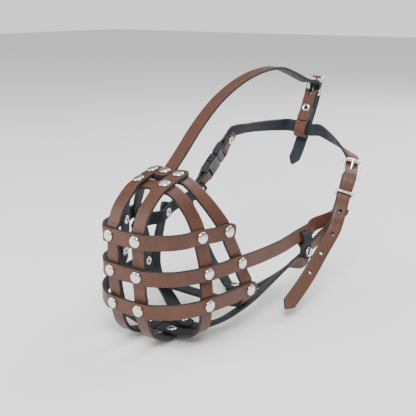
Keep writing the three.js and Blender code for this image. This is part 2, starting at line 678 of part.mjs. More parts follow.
// ---- Metal parts of the buckles -------------------------------------------------------------------
// A closed wire ring round a rounded rectangle in its own X-Y plane.
function ringSolid(halfWidth, halfLength, corner, wire) {
  const perCorner = 5;
  const count = 4 * perCorner;
  const around = 4 * wire;
  const geometry = new THREE.TorusGeometry(around, wire, 8, count);
  const position = geometry.attributes.position;
  for (let i = 0; i < position.count; i++) {
    const turn = Math.atan2(position.getY(i), position.getX(i)) / (2 * Math.PI);
    const index = (Math.round(turn * count) + count) % count;
    const quarter = Math.floor(index / perCorner);
    const angle = (quarter + (index % perCorner) / (perCorner - 1)) * Math.PI / 2;
    const reach = Math.hypot(position.getX(i), position.getY(i)) - around;
    const sideX = quarter === 0 || quarter === 3 ? 1 : -1;
    const sideY = quarter < 2 ? 1 : -1;
    const x = sideX * (halfWidth - corner) + (corner + reach) * Math.cos(angle);
    const y = sideY * (halfLength - corner) + (corner + reach) * Math.sin(angle);
    position.setXYZ(i, x, y, position.getZ(i));
  }
  return geometry;
}

// A tube along its own X axis.
function tubeSolid(inner, outer, length) {
  const profile = [[inner, -length / 2], [outer, -length / 2], [outer, length / 2],
    [inner, length / 2], [inner, -length / 2]].map(([r, y]) => new THREE.Vector2(r, y));
  const geometry = new THREE.LatheGeometry(profile, 16);
  geometry.rotateZ(Math.PI / 2);
  return geometry;
}

const ringCorner = 1.8;
const frameHalfWidth = strapWidth / 2 + strapPlay + wireRadius;

function buckleFrame(frame) {
  const geometry = ringSolid(frameHalfWidth, frameLength / 2, ringCorner, wireRadius);
  geometry.translate(0, frameLength / 2, 0);
  return geometry.applyMatrix4(frame);
}

function buckleRoller(frame) {
  const geometry = tubeSolid(wireRadius + 0.25, rollerRadius, 2 * (frameHalfWidth - ringCorner) - 0.7);
  geometry.translate(0, frameLength, 0);
  return geometry.applyMatrix4(frame);
}

// The tongue: a ring on the heel bar and a prong that rests on the roller.
const tongueBore = wireRadius + 0.3;
const tongueRing = tongueBore + 1.3;

function buckleTongue(frame) {
  const rest = rollerRadius + layerGap + 0.05;
  const outline = [
    [0.3, tongueBore + 0.15], [2, tongueBore - 0.65], [4, 2.3], [frameLength - 4, rest - 0.1],
    [frameLength, rest], [frameLength + 2.8, rest + 0.3], [frameLength + 2.2, rest + 1.2],
    [frameLength - 4, rest + 1.4], [4, 3.6], [0, tongueRing]
  ].map(([x, y]) => new THREE.Vector2(x, y));
  const prong = new THREE.ExtrudeGeometry(new THREE.Shape(outline), {
    depth: tongueWidth, bevelEnabled: false
  });
  prong.translate(0, 0, -tongueWidth / 2);
  const turned = frameAt(vec(0, 0, 0), vec(0, 1, 0), vec(0, 0, 1), vec(1, 0, 0));
  return join([
    tubeSolid(tongueBore, tongueRing, tongueWidth),
    prong.applyMatrix4(turned)
  ]).applyMatrix4(frame);
}

const tongueSlot = tongueWidth + 2 * tonguePlay;

function foldSlotCutter(frame) {
  const geometry = new THREE.CylinderGeometry(5.6, 5.6, tongueSlot, 20);
  geometry.rotateZ(Math.PI / 2);
  return geometry.applyMatrix4(frame);
}

function prongHoleCutter(frame) {
  return box(tongueSlot, 16, 3.5, 0, frameLength / 2, 3.75).applyMatrix4(frame);
}

// ---- Side-release buckle --------------------------------------------------------------------------
const barClear = wrapRadius + half + 0.65;
const clipHalf = clipWidth / 2;
const cheekInner = strapWidth / 2 + strapPlay;
const socketTop = 22;
const windowLow = 10.5;
const windowHigh = 17;
const armThickness = clipThickness - 2 * clipWall - 0.6;
const armRoot = socketTop + 3.3;
const armInner = 5.6;
const armOuter = 8.2;

function roundedPlate(halfWidth, low, high, corner, thickness, bevel) {
  const w = halfWidth - bevel;
  const a = low + bevel;
  const b = high - bevel;
  const shape = new THREE.Shape();
  shape.moveTo(-w + corner, a);
  shape.lineTo(w - corner, a);
  shape.absarc(w - corner, a + corner, corner, -Math.PI / 2, 0);
  shape.absarc(w - corner, b - corner, corner, 0, Math.PI / 2);
  shape.absarc(-w + corner, b - corner, corner, Math.PI / 2, Math.PI);
  shape.absarc(-w + corner, a + corner, corner, Math.PI, Math.PI * 1.5);
  const geometry = new THREE.ExtrudeGeometry(shape, {
    depth: thickness - 2 * bevel,
    bevelEnabled: true,
    bevelThickness: bevel,
    bevelSize: bevel,
    bevelSegments: 1,
    curveSegments: 4
  });
  geometry.translate(0, 0, -thickness / 2 + bevel);
  return geometry;
}

function strapBar(y) {
  const geometry = new THREE.CylinderGeometry(wireRadius, wireRadius, 2 * cheekInner + 1.6, 12);
  geometry.rotateZ(Math.PI / 2);
  geometry.translate(0, y, 0);
  return geometry;
}

function clipSocket() {
  const body = roundedPlate(clipHalf, -2.2, socketTop, 2.2, clipThickness, 0.8);
  const cavityLow = windowLow - 3;
  const hollow = clipThickness - 2 * clipWall;
  const opened = cut(body, [
    box(2 * cheekInner, barClear + 10, clipThickness * 2, 0, barClear - (barClear + 10) / 2, 0),
    box(2 * (clipHalf - clipWall), 40, hollow, 0, cavityLow + 20, 0),
    box(clipWidth * 2, windowHigh - windowLow, hollow, 0, (windowHigh + windowLow) / 2, 0)
  ]);
  return join([opened, strapBar(0)]).applyMatrix4(clipFrame);
}

function clipPlug() {
  const body = roundedPlate(clipHalf, socketTop + 0.3, clipLength + 2.2, 2.2, clipThickness, 0.8);
  const slotLow = clipLength - barClear;
  const pocket = (side) => box(armOuter - armInner + 0.6, 6, armThickness + 0.6,
    side * (armInner + armOuter) / 2, armRoot - 2.7, 0);
  const opened = cut(body, [
    box(2 * cheekInner, barClear + 10, clipThickness * 2, 0, slotLow + (barClear + 10) / 2, 0),
    pocket(1),
    pocket(-1)
  ]);
  const guide = box(4.4, 16, armThickness, 0, socketTop - 4.5, 0);
  return join([opened, strapBar(clipLength), guide]).applyMatrix4(clipFrame);
}

function clipArm(side) {
  const outline = [
    [armInner, armRoot], [armInner, windowHigh + 0.5], [armInner + 0.2, windowLow + 3], [6.2, windowLow - 0.7],
    [7.4, windowLow - 0.7], [clipHalf - 0.3, windowLow + 3], [clipHalf - 0.3, windowHigh - 0.3],
    [armOuter + 0.2, windowHigh - 0.2], [armOuter, windowHigh + 0.5], [armOuter, armRoot]
  ].map(([x, y]) => new THREE.Vector2(side * x, y));
  const geometry = new THREE.ExtrudeGeometry(new THREE.Shape(outline), {
    depth: armThickness, bevelEnabled: false
  });
  geometry.translate(0, 0, -armThickness / 2);
  return geometry.applyMatrix4(clipFrame);
}

// ---- Rivets, by where they sit --------------------------------------------------------------------
const pair = (place, layers) => [rivetPlace(place, layers), rivetPlace(mirrorRow(place), layers)];
const onBand = (place) => pair(lift(place, 1), 2);
const rivets = {
  upper_band_rivet: [...onBand(front.upper), ...onBand(hoopFront.upper), ...onBand(hoopRear.upper)],
  middle_band_rivet: [
    ...onBand(front.middle),
    ...onBand(hoopFront.middle),
    rivetPlace(lift(hoopRear.middle, 1), 2)
  ],
  lower_band_rivet: [...onBand(front.lower), ...onBand(hoopFront.lower), ...onBand(hoopRear.lower)],
  bridge_rivet: [...pair(topFront, 2), ...pair(topRear, 2)],
  forehead_rivet: [rivetPlace(foreheadRivet, 3)],
  jaw_front_rivet: pair(bottomFront, 2),
  jaw_cross_rivet: [rivetPlace(bottomRear, 3)],
  jaw_rear_rivet: [rivetPlace(mirrorRow(bottomRear), 2)],
  throat_rivet: [rivetPlace(throatRivet, 2)],
  far_cheek_start_rivet: [rivetPlace(farCheekStart, 2)],
  far_cheek_cross_rivet: [rivetPlace(lift(farCross, 1), 2)],
  socket_fold_rivet: [rivetPlace(socketJoin, 3)],
  plug_fold_rivet: [rivetPlace(localRow(clipTop, 0, -13, pitch / 2, 0, 1), 2)],
  slit_loop_rivet: [rivetPlace(slitRivetOut, 2)],
  neck_buckle_fold_rivet: [rivetPlace(cheekJoin, 3)],
  tab_rivet: [rivetPlace(topRow(-18, pitch, 0, 1), 3)]
};
const places = (...names) => names.flatMap((name) => rivets[name]);
const onFronts = places('upper_band_rivet', 'middle_band_rivet', 'lower_band_rivet', 'bridge_rivet');
const underJaw = places('jaw_front_rivet', 'jaw_cross_rivet', 'jaw_rear_rivet');

// ---- Straps ---------------------------------------------------------------------------------------
const ends = { start: 'round', end: 'round' };

function strapNode(name, rows, places, options = {}, cutters = []) {
  const solid = new Strap(rows).solid({ ...ends, ...options });
  addNode(name, cut(solid, [...shankCutters(places), ...cutters]), leather);
}

// Holes through a strap at even distances back from its tip.
function tailHoles(strap, fromTip, count) {
  const length = strap.curve.getLength();
  const holes = [];
  for (let i = 0; i < count; i++) {
    const share = 1 - (fromTip + i * holeSpacing) / length;
    const f = strap.at(strap.curve.getUtoTmapping(share) * strap.spans);
    const geometry = new THREE.CylinderGeometry(holeRadius, holeRadius, 4 * strapThickness, 10);
    geometry.rotateX(Math.PI / 2);
    const back = f.across.clone().cross(f.along);
    holes.push(geometry.applyMatrix4(frameAt(f.point, f.across, f.along, back)));
  }
  return holes;
}

const slitCutter = box(strapWidth + 3.4, strapThickness + 1.8, 4 * strapThickness).applyMatrix4(slitFrame);
const squareEnds = { start: 'square', end: 'square' };
const tailEnds = { end: 'point' };

strapNode('front_strap_left', frontRows, [...onFronts, ...underJaw]);
strapNode('front_strap_right', mirrorRows(frontRows), [...onFronts, ...underJaw]);
strapNode('front_hoop', frontHoopRows, [...onFronts, ...underJaw], squareEnds);
strapNode('rear_hoop', rearHoopRows,
  [...onFronts, ...places('forehead_rivet', 'far_cheek_start_rivet')], squareEnds);
strapNode('upper_band', upperRows, rivets.upper_band_rivet);
strapNode('middle_band_and_cheek_strap', middleRows,
  places('middle_band_rivet', 'neck_buckle_fold_rivet'), {}, [slitCutter]);
strapNode('lower_band', lowerRows, rivets.lower_band_rivet);
strapNode('cheek_strap_right', farCheekRows,
  places('far_cheek_start_rivet', 'far_cheek_cross_rivet', 'socket_fold_rivet'));
strapNode('lower_cheek_strap_left', jawLeftRows,
  places('jaw_cross_rivet', 'jaw_rear_rivet', 'slit_loop_rivet'));
strapNode('lower_cheek_strap_right', jawRightRows, places('jaw_cross_rivet', 'far_cheek_cross_rivet'));
strapNode('throat_strap_left', throatLeftRows, places('throat_rivet', 'neck_buckle_fold_rivet'), {},
  [foldSlotCutter(neckFrame)]);
strapNode('throat_strap_right', throatRightRows, places('throat_rivet', 'socket_fold_rivet'));
strapNode('neck_strap', neckStrapRows, rivets.plug_fold_rivet, tailEnds,
  [prongHoleCutter(neckFrame), ...tailHoles(new Strap(neckStrapRows), 52, adjustingHoles)]);
strapNode('forehead_tab', tabRows, rivets.tab_rivet, {}, [foldSlotCutter(topFrame)]);
strapNode('forehead_strap', foreheadRows, rivets.forehead_rivet, tailEnds,
  [prongHoleCutter(topFrame), ...tailHoles(new Strap(foreheadRows), 52, 2)]);

// ---- Metal and plastic ----------------------------------------------------------------------------
addNode('neck_buckle_frame', buckleFrame(neckFrame), steel);
addNode('neck_buckle_roller', buckleRoller(neckFrame), steel);
addNode('neck_buckle_tongue', buckleTongue(neckFrame), steel);
addNode('forehead_buckle_frame', buckleFrame(topFrame), steel);
addNode('forehead_buckle_roller', buckleRoller(topFrame), steel);
addNode('forehead_buckle_tongue', buckleTongue(topFrame), steel);

const keeper = ringSolid(strapWidth / 2 + 0.6 + keeperWire, keeperStack / 2 + keeperWire, 2.2, keeperWire);
keeper.rotateX(Math.PI / 2);
keeper.translate(0, -20, pitch * 0.5 + 0.2);
addNode('keeper_ring', keeper.applyMatrix4(neckFrame), steel);

addNode('clip_socket', clipSocket(), plastic);
addNode('clip_plug', clipPlug(), plastic);
addNode('clip_arm_front', clipArm(1), plastic);
addNode('clip_arm_rear', clipArm(-1), plastic);

for (const [name, list] of Object.entries(rivets)) {
  list.forEach(({ matrix, layers }, i) => {
    const label = list.length > 1 ? `${name}_${i + 1}` : name;
    addNode(label, rivetSolid(layers).applyMatrix4(matrix), steel);
  });
}

// ---- Place the part's floor at z = 0 and its middle over the origin --------------------------------
const bounds = new THREE.Box3().setFromObject(group);
const middle = bounds.getCenter(vec(0, 0, 0));
for (const mesh of group.children) {
  mesh.geometry.translate(-middle.x, -middle.y, -bounds.min.z);
}

export default group;
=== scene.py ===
"""Looks of the basket muzzle: leather straps, rivets, buckles and clip on the CAD frame."""

import json
import math

import bmesh
import bpy
from mathutils import Matrix, Vector

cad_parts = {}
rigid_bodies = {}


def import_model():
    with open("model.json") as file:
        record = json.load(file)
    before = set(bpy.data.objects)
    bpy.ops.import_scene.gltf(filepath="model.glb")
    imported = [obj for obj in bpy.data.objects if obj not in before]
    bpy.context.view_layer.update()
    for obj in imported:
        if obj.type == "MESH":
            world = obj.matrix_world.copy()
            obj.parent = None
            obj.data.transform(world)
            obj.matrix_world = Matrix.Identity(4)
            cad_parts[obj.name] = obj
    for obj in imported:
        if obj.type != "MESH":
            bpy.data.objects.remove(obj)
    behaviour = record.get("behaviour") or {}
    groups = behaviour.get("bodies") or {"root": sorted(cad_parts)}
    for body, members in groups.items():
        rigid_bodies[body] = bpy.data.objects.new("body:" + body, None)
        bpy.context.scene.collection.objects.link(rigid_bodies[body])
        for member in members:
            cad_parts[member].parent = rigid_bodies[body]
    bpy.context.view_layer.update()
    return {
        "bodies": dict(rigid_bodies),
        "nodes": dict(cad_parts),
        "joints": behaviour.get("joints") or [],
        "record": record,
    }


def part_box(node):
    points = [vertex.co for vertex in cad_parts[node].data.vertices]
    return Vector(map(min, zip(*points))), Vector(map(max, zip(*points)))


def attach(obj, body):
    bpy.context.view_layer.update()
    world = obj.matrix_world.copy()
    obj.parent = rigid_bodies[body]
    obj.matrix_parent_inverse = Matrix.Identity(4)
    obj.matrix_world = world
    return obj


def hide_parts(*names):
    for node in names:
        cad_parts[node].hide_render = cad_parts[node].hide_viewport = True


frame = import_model()

# ---- Sizes in millimetres, as in the CAD part ------------------------------------------
strapWidth = 14
strapThickness = 3.2
layerGap = 0.3
flatReach = 7.3
frontX = 15
capRadius = 5.3
capHeight = 2.2
washerRadius = 4.6
washerHeight = 1
shankRadius = 1.7
wireRadius = 1.35
frameLength = 21
strapPlay = 0.8
barPlay = 0.4
rollerWall = 0.9
tongueSlot = 3.6
keeperWire = 1.5
ringCorner = 1.8                         # radius of a buckle frame's bent corners
rollerPlay = 0.25                        # radial, on its bar
rollerSidePlay = 0.7                     # both ends together
holeRadius = 2
holeSpacing = 27
firstHole = 52                           # from a strap's tip
neckHoles = 4
foreheadHoles = 2
clipLength = 36
pitch = strapThickness + layerGap
half = strapThickness / 2
floorLift = half + layerGap + capHeight
drawnLift = half * 0.2                   # the drawing stands this high above the floor
throatY = 168                            # the throat rivet's place in the drawing, at x = 0
wrapRadius = wireRadius + barPlay + half
rollerRadius = wireRadius + rollerPlay + rollerWall
keeperStack = 3 * strapThickness + 4 * layerGap + 1.4
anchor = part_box("throat_rivet")
shift = Vector((
    500 * (anchor[0].x + anchor[1].x),
    500 * (anchor[0].y + anchor[1].y) - throatY,
    -drawnLift,
))                                       # from the drawing's origin to the part's


# ---- Rows ------------------------------------------------------------------------------
class Row:
    """A point on a strap's mid line, with the outward normal of its face."""

    def __init__(self, point, normal, pinned=0, heading=None):
        self.point = Vector(point)
        self.normal = Vector(normal).normalized()
        self.pinned = pinned
        self.heading = heading


row = Row


def vec(x, y, z):
    return Vector((x, y, z))


def mirror(v):
    return vec(-v.x, v.y, v.z)


def at_x(v, x):
    return vec(x, v.y, v.z)


def pin(r, reach=flatReach):
    return Row(r.point, r.normal, reach)


def lift(r, layers):
    return Row(r.point + r.normal * (layers * pitch), r.normal, r.pinned)


def mirrorRow(r):
    return Row(mirror(r.point), mirror(r.normal), r.pinned)


def mirrorRows(rows):
    return [mirrorRow(r) for r in rows]


def frameAt(origin, x, y, z):
    return Matrix((
        (x.x, y.x, z.x, origin.x),
        (x.y, y.y, z.y, origin.y),
        (x.z, y.z, z.z, origin.z),
        (0, 0, 0, 1),
    ))


def facing(origin, up, out):
    """A frame whose Y is up and whose Z is out, made square to it."""
    out = (out - up * out.dot(up)).normalized()
    return frameAt(origin, up.cross(out).normalized(), up, out)


# ---- Basket: crossings of the vertical straps with the bands ---------------------------
outFront = vec(0.1, -1, 0)
front = {
    "upper": pin(row(vec(frontX, 0, 109), outFront)),
    "middle": pin(row(vec(frontX, 0.2, 76.4), outFront)),
    "lower": pin(row(vec(frontX, 1.6, 44.4), outFront))
}
hoopFront = {
    "upper": pin(row(vec(45, 46.7, 105.6), vec(0.95, -0.3, 0.1))),
    "middle": pin(row(vec(50, 49, 72), vec(0.97, -0.25, 0.05))),
    "lower": pin(row(vec(54.5, 44, 44.4), vec(0.97, -0.22, 0)))
}
hoopRear = {
    "upper": pin(row(vec(53.6, 74.6, 105.6), vec(0.97, -0.2, 0.12))),
    "middle": pin(row(vec(58, 89, 72), vec(0.98, -0.12, 0.08)), 10.6),
    "lower": pin(row(vec(63, 97, 44.4), vec(0.98, -0.15, -0.02)))
}
bottomZ = floorLift + drawnLift
topFront = pin(row(vec(frontX, 36, 150.5), vec(0.12, -0.3, 0.95)))
topRear = pin(row(vec(frontX, 55, 155.5), vec(0.1, -0.2, 0.97)))
bottomFront = pin(row(vec(frontX, 43, bottomZ), vec(0, 0, -1)))
bottomRear = pin(row(vec(frontX, 60.5, bottomZ), vec(0, 0, -1)))

# The two front straps: bridge, nose, under the jaw.
def frontRow(y, z, ny, nz):
    return row(vec(frontX, y, z), vec(0, ny, nz))


frontRows = [
    frontRow(65, 157.3, -0.15, 0.98),
    topRear,
    topFront,
    frontRow(20, 142, -0.55, 0.83),
    frontRow(8, 130.5, -0.82, 0.56),
    frontRow(2, 119, -0.97, 0.2),
    front["upper"],
    frontRow(0, 92.5, -1, 0),
    front["middle"],
    frontRow(0.6, 60, -1, 0),
    front["lower"],
    frontRow(3.2, 32, -0.99, -0.15),
    frontRow(7, 21.5, -0.88, -0.45),
    frontRow(15.5, 12, -0.6, -0.8),
    row(vec(frontX, 28, bottomZ + 2), vec(0, -0.2, -0.98)),
    bottomFront,
    bottomRear,
    row(vec(frontX, 68.5, bottomZ + 0.3), vec(0, 0, -1))
]

# Each hoop from the middle of the bridge, down the left side, to the middle of the bottom.
lapFlat = 6                              # flat length each side of the forehead rivet
lapEnd = 7.7                             # from that rivet's axis to a lapped end
hoopFrontHalf = [
    row(vec(0, 36.6, 148.6), vec(0, -0.25, 0.97)),
    lift(topFront, -1),
    row(vec(30, 40, 139.5), vec(0.6, -0.25, 0.75)),
    row(vec(40, 43.5, 124), vec(0.86, -0.25, 0.42)),
    hoopFront["upper"],
    row(vec(48, 48.5, 88.5), vec(0.97, -0.2, 0.1)),
    hoopFront["middle"],
    row(vec(52.8, 47, 58), vec(0.98, -0.2, 0)),
    hoopFront["lower"],
    row(vec(54.3, 43.5, 31), vec(0.98, -0.15, -0.1)),
    row(vec(51, 43.2, 19.5), vec(0.85, -0.1, -0.5)),
    row(vec(43, 43, 13), vec(0.45, 0, -0.9)),
    row(vec(30, 43, 9.5), vec(0.18, 0, -0.98)),
    lift(bottomFront, -1)
]
hoopRearHalf = [
    pin(row(vec(0, 55.6, 153), vec(0, -0.2, 0.98)), lapFlat),
    lift(topRear, -1),
    row(vec(30, 59.5, 144.5), vec(0.55, -0.2, 0.8)),
    row(vec(41.5, 65.5, 130), vec(0.82, -0.2, 0.52)),
    row(vec(49.5, 70.5, 117), vec(0.93, -0.2, 0.25)),
    hoopRear["upper"],
    pin(row(vec(56, 81.5, 89), vec(0.97, -0.15, 0.1)), 7.4),
    hoopRear["middle"],
    row(vec(60.8, 94, 58), vec(0.98, -0.12, 0.05)),
    hoopRear["lower"],
    row(vec(62.2, 98, 35), vec(0.95, -0.05, -0.3)),
    row(vec(56.5, 99, 27.5), vec(0.6, 0, -0.8)),
    row(vec(45, 100, 24), vec(0.25, 0, -0.97)),
    row(vec(25, 101, 22.8), vec(0.08, 0, -1))
]

# The front hoop's ends meet under the jaw, each riveted to a front strap.  The rear hoop's ends lap
# under the end of the forehead strap, whose rivet goes through both.
hoopMeet = 0.6                           # half of the gap between the front hoop's ends
endReach = flatReach + 2                 # from a rivet's axis to the end of its strap
frontHoopEnd = row(vec(hoopMeet, 43, bottomZ + pitch), vec(0, 0, -1))
frontHoopRows = [
    mirrorRow(frontHoopEnd),
    *mirrorRows(hoopFrontHalf[1:])[::-1],
    *hoopFrontHalf,
    frontHoopEnd
]
rearLap = hoopRearHalf[0]
rearHoopRows = [
    row(at_x(rearLap.point, -lapEnd), rearLap.normal),
    *hoopRearHalf,
    *mirrorRows(hoopRearHalf[1:])[::-1],
    lift(rearLap, -1),
    row(at_x(lift(rearLap, -1).point, lapEnd), rearLap.normal)
]

# ---- Bands, each outside the straps that it crosses ------------------------------------
upperHalf = [
    lift(front["upper"], 1),
    row(vec(28.5, 2.5, 108.3), vec(0.55, -0.83, 0)),
    row(vec(38.5, 13.5, 107.3), vec(0.82, -0.57, 0.02)),
    row(vec(44.8, 28, 106.4), vec(0.92, -0.38, 0.05)),
    lift(hoopFront["upper"], 1),
    row(vec(53.2, 60, 105.5), vec(0.96, -0.26, 0.1)),
    lift(hoopRear["upper"], 1),
    row(vec(58.9, 82.6, 105.8), vec(0.97, -0.2, 0.12))
]
middleHalf = [
    lift(front["middle"], 1),
    row(vec(30, 2.8, 75.4), vec(0.55, -0.83, 0)),
    row(vec(41.5, 15, 74.2), vec(0.84, -0.54, 0)),
    row(vec(49, 32, 73), vec(0.94, -0.34, 0)),
    lift(hoopFront["middle"], 1)
]
lowerHalf = [
    lift(front["lower"], 1),
    row(vec(32, 4, 44.4), vec(0.55, -0.83, 0)),
    row(vec(45, 15, 44.4), vec(0.8, -0.6, 0)),
    row(vec(53.8, 29.5, 44.4), vec(0.93, -0.36, 0)),
    lift(hoopFront["lower"], 1),
    row(vec(63.5, 70, 44.4), vec(0.97, -0.22, 0)),
    lift(hoopRear["lower"], 1),
    row(vec(68, 105.5, 44.4), vec(0.98, -0.13, -0.02))
]
noseMiddle = lambda r: row(at_x(lift(r, 1).point, 0) + vec(0, -0.9, 0), vec(0, -1, 0))
farMiddleEnd = row(vec(55.5, 60, 72), vec(0.97, -0.22, 0.05))

# ---- Neck buckle: its heel bar's middle and its width, length and outward directions ---
neckHeel = vec(75, 279, 118.5)
neckUp = vec(-0.05, 0.577, 0.815).normalized()
neckOut = vec(0.55, -0.665, 0.505)
neckFrame = facing(neckHeel, neckUp, neckOut)

# A row given in a buckle's own directions: up along the frame and out of its face.
def localRow(frame, wide, up, out, nUp, nOut):
    return row(frame @ vec(wide, up, out), frame.to_3x3() @ vec(0, nUp, nOut))


neckRow = lambda up, out, nUp, nOut: localRow(neckFrame, 0, up, out, nUp, nOut)

# Strap folded round a heel bar: along the outside, round the bar, back along the inside.
def foldRows(frame, outerReach, innerReach):
    local = lambda up, out, nUp, nOut: localRow(frame, 0, up, out, nUp, nOut)
    near = pitch / 2
    return [
        local(-outerReach, near, 0, 1),
        local(-outerReach + 6, near, 0, 1),
        local((-outerReach - 3) / 2, near, 0, 1),
        local(-9, near, 0, 1),
        local(-4.5, near + 0.8, -0.2, 0.98),
        local(0, wrapRadius, 0, 1),
        local(wrapRadius * 0.72, wrapRadius * 0.72, 0.7, 0.7),
        local(wrapRadius, 0, 1, 0),
        local(wrapRadius * 0.72, -wrapRadius * 0.72, 0.7, -0.7),
        local(0, -wrapRadius, 0, -1),
        local(-4.5, -near - 0.8, -0.2, -0.98),
        local(-9, -near, 0, -1),
        local((-innerReach - 9) / 2, -near, 0, -1),
        local(-innerReach, -near, 0, -1)
    ]


# ---- Cheek strap: the middle band runs on to the throat strap below the neck buckle ----
slitRow = pin(row(vec(62.4, 206, 71.5), vec(0.97, -0.1, 0.15)), 9.5)
cheekJoin = pin(localRow(neckFrame, 0, -42, pitch / 2, 0, 1))
cheekRows = [
    lift(hoopRear["middle"], 1),
    row(vec(62.6, 120, 70.2), vec(0.99, -0.08, 0.1)),
    row(vec(62.6, 160, 69), vec(0.99, -0.08, 0.12)),
    slitRow,
    row(vec(61.5, 229, 74.5), vec(0.9, -0.35, 0.25)),
    lift(cheekJoin, -2),
    row(lift(cheekJoin, -2).point + vec(3.2, 7.6, 5.5), cheekJoin.normal)
]
middleRows = [
    mirrorRow(farMiddleEnd),
    *mirrorRows(middleHalf)[::-1],
    noseMiddle(front["middle"]),
    *middleHalf,
    row(vec(58.2, 69, 72), vec(0.98, -0.18, 0.05)),
    *cheekRows
]
upperRows = [*mirrorRows(upperHalf)[::-1], noseMiddle(front["upper"]), *upperHalf]
lowerRows = [*mirrorRows(lowerHalf)[::-1], noseMiddle(front["lower"]), *lowerHalf]

# ---- Side-release buckle: from the socket's strap bar to the plug's --------------------
clipBase = vec(-47, 178.2, 124.9)
clipUp = vec(0.12, 0.7, 0.7).normalized()
clipOut = vec(-0.95, -0.05, 0.25)
clipFrame = facing(clipBase, clipUp, clipOut)
clipTop = facing(clipBase + clipUp * clipLength, -clipUp, clipOut)

# ---- Throat straps: down from the socket, up to the neck buckle, riveted together at the bottom 
throatRivet = pin(row(vec(0, throatY, bottomZ), vec(0, 0, -1)))
throatRightRows = [
    *foldRows(clipFrame, 29, 28)[::-1],
    row(vec(-52.3, 156, 94), vec(-0.98, -0.2, 0.05)),
    row(vec(-51.5, 160, 82), vec(-0.98, -0.1, -0.1)),
    row(vec(-47, 164, 64.5), vec(-0.95, 0, -0.3)),
    row(vec(-39, 166, 46), vec(-0.9, 0, -0.45)),
    row(vec(-28, 166.5, 28.5), vec(-0.8, 0, -0.6)),
    row(vec(-14, 167, 15), vec(-0.5, 0, -0.86)),
    lift(throatRivet, -1),
    row(lift(throatRivet, -1).point + vec(endReach, 1.5, 1.7), vec(0.1, 0, -1))
]
throatLeftRows = [
    row(throatRivet.point + vec(-endReach, -1.5, 0), throatRivet.normal),
    throatRivet,
    row(vec(20, 172, 9), vec(0.3, 0, -0.95)),
    row(vec(33, 185, 18.5), vec(0.6, 0.1, -0.8)),
    row(vec(46, 200, 31), vec(0.7, 0.1, -0.65)),
    row(vec(57, 216.5, 44.5), vec(0.78, -0.05, -0.5)),
    row(vec(68, 230, 60), vec(0.85, -0.3, -0.2)),
    row(vec(76, 242.5, 70.5), vec(0.75, -0.5, 0.2)),
    *foldRows(neckFrame, 50, 48)
]

# ---- Forehead buckle: it stands on a tab that is looped round the neck strap -----------
topHeel = vec(5.1, 315.4, 203.4)
topUp = vec(0.1, 0.3, 0.95).normalized()
topOut = vec(-0.12, 0.954, -0.3)
topFrame = facing(topHeel, topUp, topOut)
topRow = lambda up, out, nUp, nOut: localRow(topFrame, 0, up, out, nUp, nOut)
loopReach = 41.5                         # from the heel bar down to the neck strap's middle
loopOut = pitch + 1.9                    # from the neck strap's mid line to the tab's

# ---- Neck strap: folded on the plug, over the neck, through the neck buckle, down as the tail 
neckStrapRows = [
    *foldRows(clipTop, 22, 22)[::-1],
    row(vec(-37, 242, 168), vec(-0.8, 0.1, 0.58)),
    row(vec(-31, 264, 168), vec(-0.7, 0.5, 0.5)),
    row(vec(-22.5, 284, 167.5), vec(-0.52, 0.8, 0.3)),
    localRow(topFrame, 16, -loopReach, 0, 0, 1),
    localRow(topFrame, 0, -loopReach, 0, 0, 1),
    localRow(topFrame, -12, -loopReach, 0, 0, 1),
    row(vec(22.5, 305, 163), vec(0.3, 0.93, 0.1)),
    row(vec(36, 303.5, 157.5), vec(0.52, 0.78, 0.36)),
    row(vec(50.5, 301.5, 149.8), vec(0.64, 0.5, 0.58)),
    row(vec(61.5, 300, 142.3), vec(0.66, 0.15, 0.72)),
    neckRow(frameLength + 4.8, -8, 0.25, 0.97),
    neckRow(frameLength, -rollerRadius - barPlay - half - 0.8, 0.2, 0.98),
    neckRow(frameLength - 6.5, -0.6, 0.6, 0.8),
    neckRow(frameLength - 13, 4.8, 0.6, 0.8),
    neckRow(0.5, 9.2, 0.25, 0.97),
    neckRow(-7, 10, -0.1, 1),
    neckRow(-13.5, 8.4, -0.3, 0.95),
    neckRow(-20, pitch * 1.5 + 0.4, -0.1, 1),
    neckRow(-27, pitch * 1.5 + 0.4, 0.2, 1),
    neckRow(-35, 7.9, 0.25, 1),
    neckRow(-42, 8.9, 0, 1),
    neckRow(-50, 8.9, 0, 1),
    row(vec(82, 238, 71.5), vec(0.6, -0.5, 0.62)),
    row(vec(81, 214, 53), vec(0.62, -0.44, 0.65)),
    row(vec(81, 180, 31), vec(0.63, -0.42, 0.66)),
    row(vec(80, 142, 12), vec(0.64, -0.4, 0.66))
]

# ---- Tab round the neck strap, and the forehead strap ----------------------------------
tabRows = [
    topRow(-13, 0, 0, -1),
    topRow(-22, 0, 0, -1),
    topRow(-28.5, -1.3, -0.4, -0.92),
    topRow(-34, -loopOut, -0.2, -0.98),
    topRow(-40, -loopOut, 0, -1),
    topRow(-46.5, -loopOut, 0, -1),
    topRow(-50, -2.7, -0.7, -0.7),
    topRow(-51.2, 0, -1, 0),
    topRow(-50, 2.7, -0.7, 0.7),
    topRow(-46.5, loopOut, 0, 1),
    topRow(-40, loopOut, 0, 1),
    topRow(-33, loopOut, 0, 1),
    topRow(-26, pitch, 0, 1),
    topRow(-12, pitch, 0, 1),
    topRow(-5, 3.3, 0, 1),
    topRow(0, wrapRadius, 0.1, 1),
    topRow(wrapRadius * 0.72, wrapRadius * 0.72, 0.7, 0.7),
    topRow(wrapRadius, 0, 1, 0),
    topRow(wrapRadius * 0.72, -wrapRadius * 0.72, 0.7, -0.7),
    topRow(0, -wrapRadius, 0.1, -1),
    topRow(-5, -3.3, 0, -1),
    topRow(-12, -pitch, 0, -1),
    topRow(-22, -pitch, 0, -1),
    topRow(-28, -pitch - 1.4, 0.3, -0.95),
    topRow(-34, -pitch - 4.1, 0.3, -0.95)
]
foreheadRivet = lift(rearLap, 1)
overTabRivet = pitch + strapThickness + layerGap + capHeight + 1.1
